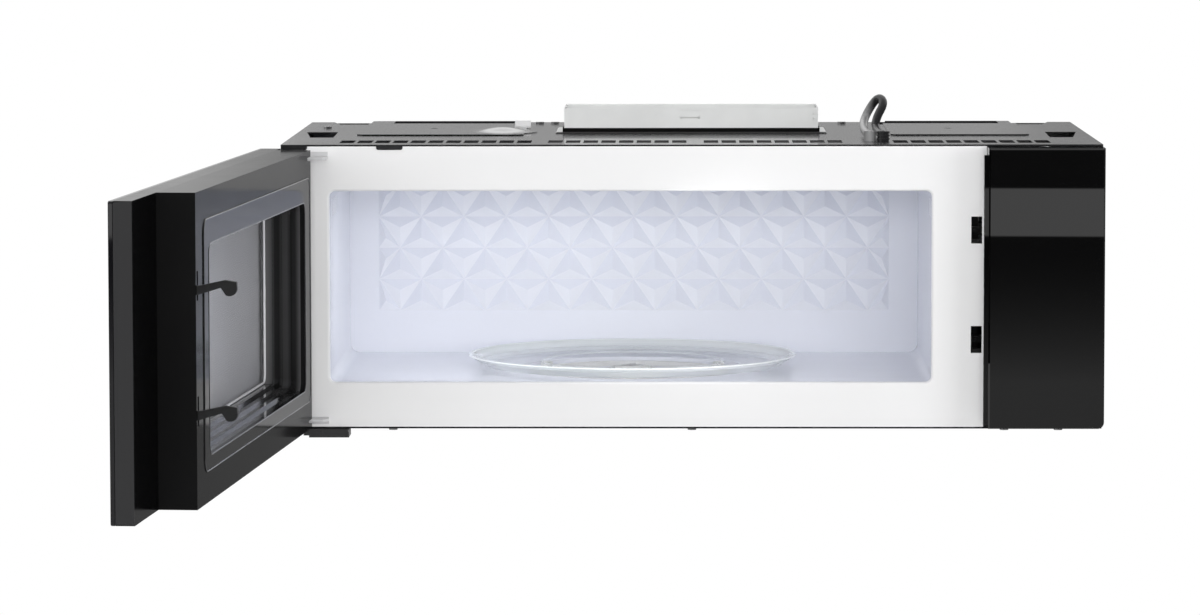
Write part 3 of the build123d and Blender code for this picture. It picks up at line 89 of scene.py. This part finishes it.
add_camera()
scene.view_settings.view_transform = "Standard"


# ---------------------------------------------------------------- material helpers
class Tree:
    """A node tree that is built in short calls."""

    def __init__(self, tree):
        self.tree = tree

    def node(self, kind, inputs=None, **settings):
        made = self.tree.nodes.new(kind)
        for key, value in settings.items():
            setattr(made, key, value)
        for key, value in (inputs or {}).items():
            self.feed(made.inputs[key], value)
        return made

    def feed(self, socket, value):
        """Links a socket to the given one, or sets it to the given value."""
        if isinstance(value, bpy.types.NodeSocket):
            self.tree.links.new(value, socket)
        else:
            socket.default_value = value

    def shader(self, inputs):
        """Feeds the tree's own Principled shader."""
        shader = self.tree.nodes["Principled BSDF"]
        for key, value in inputs.items():
            self.feed(shader.inputs[key], value)
        return shader

    def math(self, operation, a, b=0.0):
        made = self.node("ShaderNodeMath", operation=operation)
        for socket, value in zip(made.inputs, (a, b)):
            self.feed(socket, value)
        return made.outputs[0]

    def length(self, a, b):
        """The length of a flat vector from its two parts."""
        squares = [self.math("MULTIPLY", part, part) for part in (a, b)]
        return self.math("SQRT", self.math("ADD", *squares))

    def mix(self, share, a, b):
        made = self.node("ShaderNodeMix", data_type="RGBA")
        self.feed(made.inputs["Factor"], share)
        self.feed(made.inputs[6], a)
        self.feed(made.inputs[7], b)
        return made.outputs[2]

    def ramp(self, value, low, high, to_low=0.0, to_high=1.0):
        limits = {"From Min": low, "From Max": high, "To Min": to_low, "To Max": to_high}
        return self.node("ShaderNodeMapRange", {"Value": value, **limits}).outputs[0]

    def place(self):
        return self.node("ShaderNodeTexCoord").outputs["Object"]

    def split(self, vector):
        """The X, Y and Z of a vector, as sockets by those names."""
        return self.node("ShaderNodeSeparateXYZ", {"Vector": vector}).outputs

    def noise(self, scale, detail=3.0, roughness=0.55):
        settings = {"Scale": scale, "Detail": detail, "Roughness": roughness}
        return self.node("ShaderNodeTexNoise", {"Vector": self.place(), **settings}).outputs["Fac"]

    def bump(self, height, strength, distance):
        settings = {"Height": height, "Strength": strength, "Distance": distance}
        return self.node("ShaderNodeBump", settings).outputs["Normal"]

    def seen(self):
        """1 for rays that come straight from the camera or through glass."""
        path = self.node("ShaderNodeLightPath").outputs
        return self.math("MAXIMUM", path["Is Camera Ray"], path["Is Transmission Ray"])


def new_material(name):
    material = bpy.data.materials.new(name)
    material.use_nodes = True
    return material, Tree(material.node_tree)


def shade(color, share):
    return tuple(min(1.0, channel * share) for channel in color[:3]) + (1.0,)


COAT_ROUGHNESS = 0.04
GRAIN_DEPTH = 0.0002
DRIFT = (0.3, 0.7)  # noise levels between which a colour drifts
SMEAR = (0.3, 0.75)  # noise levels between which the gloss is smeared


def surface(
    name, color, roughness, metallic=0.0, coat=0.0, vary=0.06, vary_scale=9.0,
    grain=0.0, grain_scale=900.0, smear=0.06, smear_scale=14.0, specular=0.5, ior=1.5,
    band=None, fade=None,
):
    """A finished opaque material: its colour drifts, its gloss is smeared and its grain is a
    fine bump. A band is another colour between two values on one axis of the object. A fade
    runs to another colour between two values on an axis."""
    material, t = new_material(name)
    base = (*color, 1.0)
    drift = t.ramp(t.noise(vary_scale, detail=4.0), *DRIFT)
    tone = t.mix(drift, shade(base, 1 - vary), shade(base, 1 + vary))
    if band:
        axis, low, high, other = band
        along = t.split(t.place())[axis]
        past_low = t.math("GREATER_THAN", along, low)
        inside = t.math("MULTIPLY", past_low, t.math("LESS_THAN", along, high))
        tone = t.mix(inside, tone, (*other, 1.0))
    if fade:
        axis, low, high, other = fade
        tone = t.mix(t.ramp(t.split(t.place())[axis], low, high), tone, (*other, 1.0))
    smears = t.noise(smear_scale, detail=5.0, roughness=0.65)
    t.shader({
        "Base Color": tone,
        "Roughness": t.ramp(smears, *SMEAR, roughness, roughness + smear),
        "Metallic": metallic,
        "Coat Weight": coat,
        "Coat Roughness": COAT_ROUGHNESS,
        "Specular IOR Level": specular,
        "IOR": ior,
    })
    if grain:
        t.shader({"Normal": t.bump(t.noise(grain_scale, detail=2.0), grain, GRAIN_DEPTH)})
    return material


def dress(material, *names):
    for name in names:
        mesh = nodes[name].data
        mesh.materials.clear()
        mesh.materials.append(material)


# ---------------------------------------------------------------- enamels and door blacks
black_enamel = surface(
    "black_enamel", (0.018, 0.018, 0.019), roughness=0.16, coat=0.3,
    grain=0.03, grain_scale=500, smear=0.05, smear_scale=6,
)
base_enamel = surface(
    "base_enamel", (0.010, 0.010, 0.0105), roughness=0.34,
    grain=0.06, grain_scale=500, smear=0.08, smear_scale=6, specular=0.2,
)
white_enamel = surface(
    "white_enamel", (0.84, 0.84, 0.845), roughness=0.28, coat=0.2,
    vary=0.006, grain=0.02, smear=0.02,
)
# painted shade: the white-painted brackets are coloured a darker grey in place of the thin shadow
# line round them
hinge_enamel = surface(
    "hinge_enamel", (0.60, 0.60, 0.61), roughness=0.3, vary=0.05, grain=0.05, smear=0.05
)
cavity_enamel = surface(
    "cavity_enamel", (0.835, 0.85, 0.912), roughness=0.22, coat=0.2,
    vary=0.008, grain=0.01, grain_scale=350, smear=0.01,
)
facet_enamel = surface(
    "facet_enamel", (0.83, 0.85, 0.912), roughness=0.22, coat=0.2,
    grain=0.01, grain_scale=350, smear=0.01,
)
gloss_black = surface(
    "gloss_black", (0.0016, 0.0016, 0.0017), roughness=0.004, vary=0.1, smear=0.003
)
glass_black = surface(
    "glass_black", (0.004, 0.004, 0.005), roughness=0.015, vary=0.1, smear=0.006, ior=1.52
)
door_gloss = surface(
    "door_gloss", (0.0075, 0.0075, 0.0077), roughness=0.10,
    vary=0.1, grain=0.01, grain_scale=700, smear=0.03, specular=0.012,
)
ring_gloss = surface(
    "ring_gloss", (0.009, 0.009, 0.0095), roughness=0.08,
    vary=0.1, grain=0.01, grain_scale=700, smear=0.03, specular=0.03,
)
choke_gloss = surface(
    "choke_gloss", (0.007, 0.007, 0.0072), roughness=0.07,
    vary=0.1, grain=0.01, smear=0.03, specular=0.3,
)
# the frame's free edge, at the lowest Y of the open door, catches the light
door_black = surface(
    "door_black", (0.0022, 0.0022, 0.0024), roughness=0.12,
    grain=0.02, smear=0.05, specular=0.03, band=("Y", -1.2, -1.1700, (0.034, 0.034, 0.035)),
)

# ---------------------------------------------------------------- plastics, metals and the rest
black_plastic = surface(
    "black_plastic", (0.010, 0.010, 0.0105), roughness=0.42, grain=0.15, smear=0.1
)
dark_plastic = surface("dark_plastic", (0.020, 0.020, 0.020), roughness=0.5, grain=0.1)
white_plastic = surface("white_plastic", (0.72, 0.72, 0.70), roughness=0.4, grain=0.1)
zinc = surface(
    "zinc", (0.62, 0.63, 0.64), roughness=0.36, metallic=1.0,
    vary=0.12, vary_scale=60, grain=0.1, smear=0.15,
)
dull_zinc = surface(
    "dull_zinc", (0.34, 0.34, 0.345), roughness=0.34, metallic=0.9,
    vary=0.1, grain=0.1, smear=0.1,
)
aluminium = surface("aluminium", (0.78, 0.79, 0.80), roughness=0.3, metallic=1.0, grain=0.08)
board_green = surface(
    "board_green", (0.03, 0.16, 0.07), roughness=0.4, vary=0.3, vary_scale=160
)
copper = surface(
    "copper", (0.55, 0.24, 0.10), roughness=0.35, metallic=0.8,
    vary=0.2, vary_scale=200, grain=0.5,
)
mica = surface("mica", (0.52, 0.45, 0.36), roughness=0.6, vary=0.2, vary_scale=120, grain=0.3)
foam = surface(
    "foam", (0.006, 0.006, 0.006), roughness=0.95,
    vary=0.4, vary_scale=400, grain=1.0, grain_scale=1200, specular=0.1,
)
charcoal = surface(
    "charcoal", (0.02, 0.02, 0.02), roughness=0.9,
    vary=0.5, vary_scale=300, grain=1.0, grain_scale=500,
)
lens = surface(
    "lens", (0.75, 0.77, 0.79), roughness=0.15, vary=0.04, grain=0.3, grain_scale=300
)
# painted light and shade: grey on its left side where the light falls and near black on its right
# in shade, as the photograph shows it
cord_rubber = surface(
    "cord_rubber", (0.30, 0.30, 0.302), roughness=0.30, vary=0.12, grain=0.06, smear=0.08,
    fade=("X", 0.1665, 0.1745, (0.016, 0.016, 0.017)),
)
spring_steel = surface(
    "spring_steel", (0.60, 0.61, 0.62), roughness=0.25, metallic=1.0, grain=0.05
)
GALVANISED = dict(
    color=(0.81, 0.82, 0.815), roughness=0.34, metallic=0.12,
    vary=0.035, vary_scale=26, grain=0.05, smear=0.10,
)
galvanised = surface("galvanised", **GALVANISED)
# the flange's front margin carries a strip of black
flange_black_margin = surface(
    "flange_black_margin", **GALVANISED, band=("Y", -0.2235, -0.2130, (0.012, 0.012, 0.012))
)
bead_polish = surface(
    "bead_polish", (0.02, 0.02, 0.021), roughness=0.08, vary=0.1, smear=0.03, specular=0.9
)
bead_white = surface("bead_white", (0.78, 0.78, 0.80), roughness=0.2, vary=0.05, grain=0.02)

# from the pane out to the seal ring
CHOKE_TONES = (0.120, 0.080, 0.012, 0.008, 0.036, 0.040, 0.008, 0.012, 0.065, 0.120)


def tone_choke():
    """Gives the choke's pressed steps tones, because they catch more or less light."""
    t = Tree(choke_gloss.node_tree)
    place = t.split(t.place())
    from_x = t.math("MULTIPLY", t.math("SUBTRACT", place["X"], HINGE[0]), sin(DOOR_OPEN))
    from_y = t.math("MULTIPLY", t.math("SUBTRACT", place["Y"], HINGE[1]), cos(DOOR_OPEN))
    depth = t.ramp(t.math("ADD", from_x, from_y), PANE_DEPTH, RING_DEPTH)
    steps = t.node("ShaderNodeValToRGB", {"Fac": depth})
    elements = steps.color_ramp.elements
    while len(elements) < len(CHOKE_TONES):
        elements.new(0.5)
    for k, (element, tone) in enumerate(zip(elements, CHOKE_TONES)):
        element.position = (k + 0.5) / len(CHOKE_TONES)
        element.color = (tone, tone, tone * 1.02, 1)
    t.shader({"Base Color": steps.outputs["Color"]})


FACET_LEAN = 0.12  # upright part of the normal at which a face has its full tone
# painted light and shade: lighter on the faces that lean down, deeper on those that lean up
LEANING_DOWN = (0.868, 0.884, 0.940, 1)
LEANING_UP = (0.788, 0.810, 0.886, 1)


def paint_facet_shade():
    """Paints shade into the pyramids' enamel: a shade deeper on the faces that lean up."""
    t = Tree(facet_enamel.node_tree)
    lean = t.split(t.node("ShaderNodeTexCoord").outputs["Normal"])["Z"]
    t.shader({
        "Base Color": t.mix(t.ramp(lean, -FACET_LEAN, FACET_LEAN), LEANING_DOWN, LEANING_UP)
    })


tone_choke()
paint_facet_shade()


# ---------------------------------------------------------------- glass and the window's screen
# the tray's plain density, and what its rim, its flare and its foot add
TRAY_PLAIN, RIM_ADDS, FLARE_ADDS, FOOT_ADDS = 0.085, 0.68, 0.44, 0.34
RIM_STARTS = (0.0045, 0.0025)  # inward from the tray's edge
FLARE_STARTS = (0.030, 0.010)  # likewise
FOOT_STARTS, FOOT_ENDS = (0.0845, 0.0855), (0.0885, 0.0895)  # radii


def tray_density(t):
    """How dense the tray looks: most at its rim and foot, which are seen through their length."""
    low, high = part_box("glass_tray")
    edge = (high[0] - low[0]) / 2
    place = t.split(t.place())
    from_x = t.math("SUBTRACT", place["X"], (low[0] + high[0]) / 2)
    from_y = t.math("SUBTRACT", place["Y"], (low[1] + high[1]) / 2)
    radius = t.length(from_x, from_y)
    rim = t.ramp(radius, *(edge - inward for inward in RIM_STARTS), 0.0, RIM_ADDS)
    flare = t.ramp(radius, *(edge - inward for inward in FLARE_STARTS), 0.0, FLARE_ADDS)
    foot_inside = t.ramp(radius, *FOOT_STARTS, 0.0, FOOT_ADDS)
    foot = t.math("MULTIPLY", foot_inside, t.ramp(radius, *FOOT_ENDS, 1.0, 0.0))
    return t.math("ADD", t.math("ADD", TRAY_PLAIN, rim), t.math("ADD", flare, foot))


def glass(name, tint, roughness, alpha, vary=0.03, smear=0.02, ior=1.5):
    """Thin clear glass: it lets most light straight through, and the rest is its own pale tint
    and gloss. Its alpha is a number, or a function that makes it in the material's tree."""
    material, t = new_material(name)
    drift = t.ramp(t.noise(6.0), *DRIFT)
    smears = t.noise(12.0, detail=4.0)
    t.shader({
        "Base Color": t.mix(drift, shade(tint, 1 - vary), shade(tint, 1 + vary)),
        "Roughness": t.ramp(smears, *SMEAR, roughness, roughness + smear),
        "Alpha": alpha(t) if callable(alpha) else alpha,
        "IOR": ior,
    })
    return material


HOLE_PITCH = 0.0022
HOLE_EDGE = (0.26, 0.34)  # inside and outside of a hole's soft edge, in pitches


def perforated():
    """Pale grey sheet with a close grid of small round holes."""
    material, t = new_material("perforated_screen")
    place = t.split(t.place())
    off_hole = [
        t.math("SUBTRACT", t.math("FRACT", t.math("DIVIDE", place[axis], HOLE_PITCH)), 0.5)
        for axis in ("Y", "Z")
    ]
    hole = t.ramp(t.length(*off_hole), *HOLE_EDGE, 1.0, 0.0)
    t.shader({
        "Base Color": t.mix(hole, (0.95, 0.95, 0.99, 1), (0.78, 0.78, 0.81, 1)),
        "Roughness": t.ramp(t.noise(30.0), *DRIFT, 0.45, 0.6),
        "Normal": t.bump(t.math("SUBTRACT", 1.0, hole), strength=0.3, distance=0.0003),
    })
    return material


window_glass = glass("window_glass", (0.50, 0.51, 0.53), roughness=0.12, alpha=0.14)
tray_glass = glass("tray_glass", (0.95, 1.0, 0.99), roughness=0.04, alpha=tray_density)

# ---------------------------------------------------------------- what each CAD node wears
dress(black_enamel, "top_plate", "side_left", "side_right", "hinge_foot")
dress(base_enamel, "base_plate")
dress(white_enamel, "front_frame")
dress(hinge_enamel, "hinge_bracket_upper", "hinge_bracket_lower")
dress(cavity_enamel, "cavity_shell")
dress(facet_enamel, "cavity_back_wall")
dress(gloss_black, "right_panel")
dress(glass_black, "door_glass")
dress(door_gloss, "door_inner_frame")
dress(ring_gloss, "door_seal_ring")
dress(choke_gloss, "door_choke")
dress(door_black, "door_outer_frame")
dress(black_plastic, "latch_bar", "interlock_switches", "fan_shroud", "fan_blade", "blower_wheels")
dress(cord_rubber, "cord_bushes")
dress(white_plastic, "roller_ring", "roller_1", "roller_2", "roller_3")
dress(white_plastic, "turntable_coupler", "cavity_lamp")
dress(dark_plastic, "latch_board", "plunger_upper", "plunger_lower")
dress(zinc, "back_plate", "waveguide", "blower_housing", "cooktop_lamps")
dress(zinc, "magnetron_yoke", "transformer_core", "fan_motor", "blower_motor", "turntable_motor")
dress(dull_zinc, "case_screws")
dress(aluminium, "magnetron_fins", "hv_capacitor", "grease_filter_left", "grease_filter_right")
dress(board_green, "control_board", "touch_board")
dress(copper, "transformer_windings")
dress(mica, "waveguide_cover")
dress(foam, "damper_gasket")
dress(charcoal, "charcoal_filter")
dress(lens, "lamp_covers")
dress(spring_steel, "latch_spring")
dress(galvanised, "damper_frame", "damper_flap")
dress(flange_black_margin, "duct_flange")
dress(window_glass, "window_glass")
dress(tray_glass, "glass_tray")
dress(perforated(), "window_screen")


# ---------------------------------------------------------------- piece helpers
def add_object(name, data, material):
    """Puts a mesh or curve into the scene as an object of one material."""
    data.materials.append(material)
    made = bpy.data.objects.new(name, data)
    scene.collection.objects.link(made)
    return made


def mesh_piece(name, points, faces, material, body="cabinet", smooth=True):
    data = bpy.data.meshes.new(name)
    data.from_pydata(points, [], faces)
    data.update()
    for face in data.polygons:
        face.use_smooth = smooth
    made = add_object(name, data, material)
    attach(made, body)
    return made


# ---------------------------------------------------------------- power cord
CORD_ROUTE = (  # millimetres, from one bush over the loop to the other
    (179.0, -351.0, 268.3),
    (175.6, -262.0, 268.3),
    (175.5, -262.0, 279.0),
    (184.8, -258.0, 295.6),
    (176.8, -244.0, 300.3),
    (160.3, -236.0, 268.3),
    (166.6, -351.0, 268.3),
)
CORD_RADIUS = 0.004


def cord_piece():
    """A round cord on one smooth curve along the route."""
    curve = bpy.data.curves.new("power_cord_line", "CURVE")
    curve.dimensions = "3D"
    curve.bevel_depth = CORD_RADIUS
    curve.bevel_resolution = 6
    curve.resolution_u = 12
    spline = curve.splines.new("NURBS")
    spline.points.add(len(CORD_ROUTE) - 1)
    for point, place in zip(spline.points, CORD_ROUTE):
        point.co = (place[0] / 1000, place[1] / 1000, place[2] / 1000, 1)
    spline.order_u = 3
    spline.use_endpoint_u = True
    return add_object("power_cord_line", curve, cord_rubber)


cord = cord_piece()
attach(cord, "cabinet")
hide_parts("power_cord")


# ---------------------------------------------------------------- beads on the door
def on_door(along, back, height):
    """A place on the open door: along it from the hinge axis, behind that axis with the door
    shut, and up."""
    return (
        HINGE[0] + along * cos(DOOR_OPEN) + back * sin(DOOR_OPEN),
        HINGE[1] - along * sin(DOOR_OPEN) + back * cos(DOOR_OPEN),
        height,
    )


def rounded_outline(low, high, radius, steps):
    """Points round a rectangle with round corners, in order."""
    found = []
    corners = ((high[0], high[1]), (low[0], high[1]), (low[0], low[1]), (high[0], low[1]))
    for quarter, (x, z) in enumerate(corners):
        centre_x = x - radius if x == high[0] else x + radius
        centre_z = z - radius if z == high[1] else z + radius
        for k in range(steps + 1):
            angle = (quarter + k / steps) * pi / 2
            found.append((centre_x + radius * cos(angle), centre_z + radius * sin(angle)))
    return found


def bead(name, outline, back, thickness, material):
    """A closed bead of round section along an outline on the door."""
    data = bpy.data.curves.new(name, "CURVE")
    data.dimensions = "3D"
    data.bevel_depth = thickness / 2
    data.bevel_resolution = 4
    line = data.splines.new("POLY")
    line.points.add(len(outline) - 1)
    for point, (along, height) in zip(line.points, outline):
        point.co = (*on_door(along, back, height), 1)
    line.use_cyclic_u = True
    return add_object(name, data, material)


# along the door and up: low corner, high corner, radius of the corners, steps in each
BEAD_OUTLINE = rounded_outline((0.0586, 0.0501), (0.5654, 0.2054), 0.009, 6)
OUTER_EDGE = rounded_outline((0.0204, 0.0294), (0.5966, 0.2351), 0.0118, 8)
INNER_EDGE = rounded_outline((0.0497, 0.0412), (0.5743, 0.2143), 0.0103, 8)
BEAD_THICKNESS = 0.0022
EDGE_THICKNESS = 0.0012

# painted highlight: a pale bead round the pane's edge stands in for the bright line of light along
# the glass edge
window_bead = bead("window_bead", BEAD_OUTLINE, PANE_DEPTH, BEAD_THICKNESS, bead_white)
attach(window_bead, "door")

# polished rolled edges of the seal ring: outside and round the window
for name, outline in (("ring_edge_outer", OUTER_EDGE), ("ring_edge_inner", INNER_EDGE)):
    edge = bead(name, outline, RING_DEPTH, EDGE_THICKNESS, bead_polish)
    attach(edge, "door")


# ---------------------------------------------------------------- small things on the top plate
def pressed_dome(centre, size, rise, rings=10, spokes=40):
    """A shallow pressed swelling with an oval outline, tangent to the sheet at its edge."""
    sunk = 0.0003  # the last ring goes this far into the sheet
    points = [(centre[0], centre[1], centre[2] + rise)]
    for ring in range(1, rings + 1):
        share = ring / rings
        height = centre[2] + rise * 0.5 * (1 + cos(pi * share)) - (sunk if ring == rings else 0)
        for k in range(spokes):
            angle = 2 * pi * k / spokes
            x = centre[0] + share * size[0] * cos(angle)
            y = centre[1] + share * size[1] * sin(angle)
            points.append((x, y, height))
    faces = [(0, 1 + k, 1 + (k + 1) % spokes) for k in range(spokes)]
    for ring in range(rings - 1):
        near, far = 1 + ring * spokes, 1 + (ring + 1) * spokes
        for k in range(spokes):
            after = (k + 1) % spokes
            faces.append((near + k, far + k, far + after, near + after))
    return mesh_piece("pressed_dome", points, faces, black_enamel)


def folded_tab(place, width, foot, rise, thickness, lean, bend=0.0016, bend_steps=6):
    """A sheet tab that lies on the plate and turns up in a small round bend."""
    line = [(-foot, 0.0)]
    for k in range(bend_steps + 1):
        angle = k / bend_steps * (pi / 2 - lean)
        line.append((bend * sin(angle), bend * (1 - cos(angle))))
    end = line[-1]
    line.append((end[0] + rise * sin(lean), end[1] + rise * cos(lean)))
    upper = []
    for k, (y, z) in enumerate(line):
        before, after = line[max(k - 1, 0)], line[min(k + 1, len(line) - 1)]
        run = Vector((after[0] - before[0], after[1] - before[1])).normalized()
        upper.append((y - run.y * thickness, z + run.x * thickness))
    loop = line + upper[::-1]
    points = [
        (place[0] + side * width, place[1] + y, place[2] + z)
        for side in (-0.5, 0.5)
        for y, z in loop
    ]
    count = len(loop)
    faces = [tuple(range(count))[::-1], tuple(range(count, 2 * count))]
    for k in range(count):
        after = (k + 1) % count
        faces.append((k, after, count + after, count + k))
    return mesh_piece(
        "folded_tab", points, faces, white_enamel, smooth=False
    )


pressed_dome((-0.182, -0.195, PAD_TOP), (0.034, 0.044), rise=0.0040)
folded_tab(
    (-0.1645, -0.121, PAD_TOP), width=0.0155, foot=0.010, rise=0.0048, thickness=0.0009, lean=0.25
)

# ---------------------------------------------------------------- latch spring
COIL_RADIUS = 0.0034
COIL_TURNS = 4
WIRE_RADIUS = 0.0005


def coil(centre, low, high, steps=24, sides=8):
    """A coil spring of round wire about an upright line."""
    points = []
    count = COIL_TURNS * steps
    for k in range(count + 1):
        angle = 2 * pi * k / steps
        outward = Vector((cos(angle), sin(angle), 0))
        level = low + (high - low) * k / count
        middle = Vector((centre[0], centre[1], level)) + COIL_RADIUS * outward
        for j in range(sides):
            turn = 2 * pi * j / sides
            spoke = outward * cos(turn) + Vector((0, 0, sin(turn)))
            points.append(tuple(middle + WIRE_RADIUS * spoke))
    faces = [tuple(range(sides)), tuple(count * sides + j for j in reversed(range(sides)))]
    for k in range(count):
        for j in range(sides):
            here, after = k * sides + j, k * sides + (j + 1) % sides
            faces.append((here, here + sides, after + sides, after))
    return mesh_piece(
        "latch_coil", points, faces, spring_steel, body="door"
    )


spring_low, spring_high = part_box("latch_spring")
spring_centre = ((spring_low[0] + spring_high[0]) / 2, (spring_low[1] + spring_high[1]) / 2)
latch_coil = coil(spring_centre, spring_low[2] + WIRE_RADIUS, spring_high[2] - WIRE_RADIUS)
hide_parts("latch_spring")
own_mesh(latch_coil)

# ---------------------------------------------------------------- floor
FLOOR = -0.95
FLOOR_REACH = 6.0
FLOOR_TONE = (0.72, 0.72, 0.72, 1)


def floor_material():
    """Pale and matt for the light, plain white for the camera."""
    material, t = new_material("floor")
    shader = t.shader({"Base Color": FLOOR_TONE, "Roughness": 0.8})
    white = t.node("ShaderNodeEmission", {"Color": WHITE, "Strength": 1.0})
    blend = t.node(
        "ShaderNodeMixShader", {0: t.seen(), 1: shader.outputs[0], 2: white.outputs[0]}
    )
    t.feed(t.tree.nodes["Material Output"].inputs["Surface"], blend.outputs[0])
    return material


floor_mesh = bpy.data.meshes.new("floor")
floor_corners = ((-1, -1), (1, -1), (1, 1), (-1, 1))
floor_mesh.from_pydata(
    [(x * FLOOR_REACH, y * FLOOR_REACH, FLOOR) for x, y in floor_corners], [], [(0, 1, 2, 3)]
)
floor = add_object("floor", floor_mesh, floor_material())

# ---------------------------------------------------------------- the room that gloss mirrors
# Each band runs over one part of a ray's direction: from, to, the level up to the first and
# the level past the second (0 and 1 where none is given). Ahead, toward the camera, the room
# is dark, with one pale card near the camera's level, lighter ground and heights, and a pale
# card on the left.
CARD_FOOT = (-0.0711, -0.0708, 0.0, 1.25)
CARD_HEAD = (-0.0621, -0.0618, 1.0, 0.0)
GROUND_FALL = (-0.0727, -0.0985)
GROUND_LEVEL = 0.50
HEIGHTS = (0.14, 0.6, 0.05, 0.5)
LEFT_CARD = (-0.85, -0.45, 1.2, 0.0)
# Behind the oven stands a grey wall, lighter on its left. Three more bands are added to it.
WALL_STARTS = (-0.35, 0.25)
LEFT_WALL = (-0.095, -0.070, 0.70, 0.345)
FAR_LEFT = (-0.30, -0.15, -0.40, 0.0)
RIGHT_WALL = (0.056, 0.068, 0.0, -0.085)
OVERHEAD = (0.13, 0.22, 0.0, 1.1)
AMBIENT = 0.18  # what dull surfaces get from the world


def add_world():
    world = bpy.data.worlds.new("studio")
    scene.world = world
    world.use_nodes = True
    t = Tree(world.node_tree)
    toward = t.split(t.node("ShaderNodeTexCoord").outputs["Generated"])
    sideways, level = toward["X"], toward["Z"]

    card = t.math("MULTIPLY", t.ramp(level, *CARD_FOOT), t.ramp(level, *CARD_HEAD))
    sinking = t.ramp(level, *GROUND_FALL)
    ground = t.math("MULTIPLY", t.math("MULTIPLY", sinking, sinking), GROUND_LEVEL)
    heights = t.ramp(t.math("ABSOLUTE", level), *HEIGHTS)
    ahead = t.math("ADD", t.math("ADD", card, ground), heights)
    ahead = t.math("ADD", ahead, t.ramp(sideways, *LEFT_CARD))

    wall = t.math("ADD", t.ramp(sideways, *LEFT_WALL), t.ramp(sideways, *FAR_LEFT))
    wall = t.math("ADD", wall, t.ramp(sideways, *RIGHT_WALL))
    wall = t.math("ADD", wall, t.ramp(level, *OVERHEAD))

    behind = t.ramp(toward["Y"], *WALL_STARTS)
    room_ahead = t.math("MULTIPLY", t.math("SUBTRACT", 1.0, behind), ahead)
    room = t.math("ADD", room_ahead, t.math("MULTIPLY", behind, wall))

    glossy = t.node("ShaderNodeLightPath").outputs["Is Glossy Ray"]
    dull = t.math("MULTIPLY", t.math("SUBTRACT", 1.0, glossy), AMBIENT)
    lighting = t.math("ADD", t.math("MULTIPLY", glossy, room), dull)
    background = t.tree.nodes["Background"]
    background.inputs["Color"].default_value = WHITE
    t.feed(background.inputs["Strength"], t.math("MAXIMUM", lighting, t.seen()))


add_world()

# ---------------------------------------------------------------- lamps
LAMPS = (  # name, place, aim, size, watts
    ("key", (0.0, -4.3, 0.55), (-0.05, -0.3, 0.13), (3.0, 0.8), 77),
    ("front_soft", (0.0, -3.6, 2.2), (0, -0.3, 0.1), (4.0, 1.6), 12),
    ("left_soft", (-3.0, -2.4, 1.0), (0.1, -0.3, 0.2), (1.6, 1.2), 11),
    ("right_soft", (3.0, -2.6, 0.7), (-0.3, -0.6, 0.13), (1.6, 1.2), 38),
    ("top_soft", (0.0, -1.0, 3.2), (0, -0.3, 0.1), (4.0, 3.0), 30),
    # the light that the open cavity gathers from the room
    ("cavity_fill", (-0.125, -0.412, 0.150), (-0.02, -0.02, 0.085), (0.36, 0.10), 0.195),
)

for name, place, aim, size, watts in LAMPS:
    data = bpy.data.lights.new(name, "AREA")
    data.shape = "RECTANGLE"
    data.size, data.size_y = size
    data.energy = watts
    lamp = bpy.data.objects.new(name, data)
    lamp.location = place
    lamp.rotation_euler = (Vector(aim) - Vector(place)).to_track_quat("-Z", "Y").to_euler()
    lamp.visible_camera = False
    lamp.visible_glossy = False
    scene.collection.objects.link(lamp)
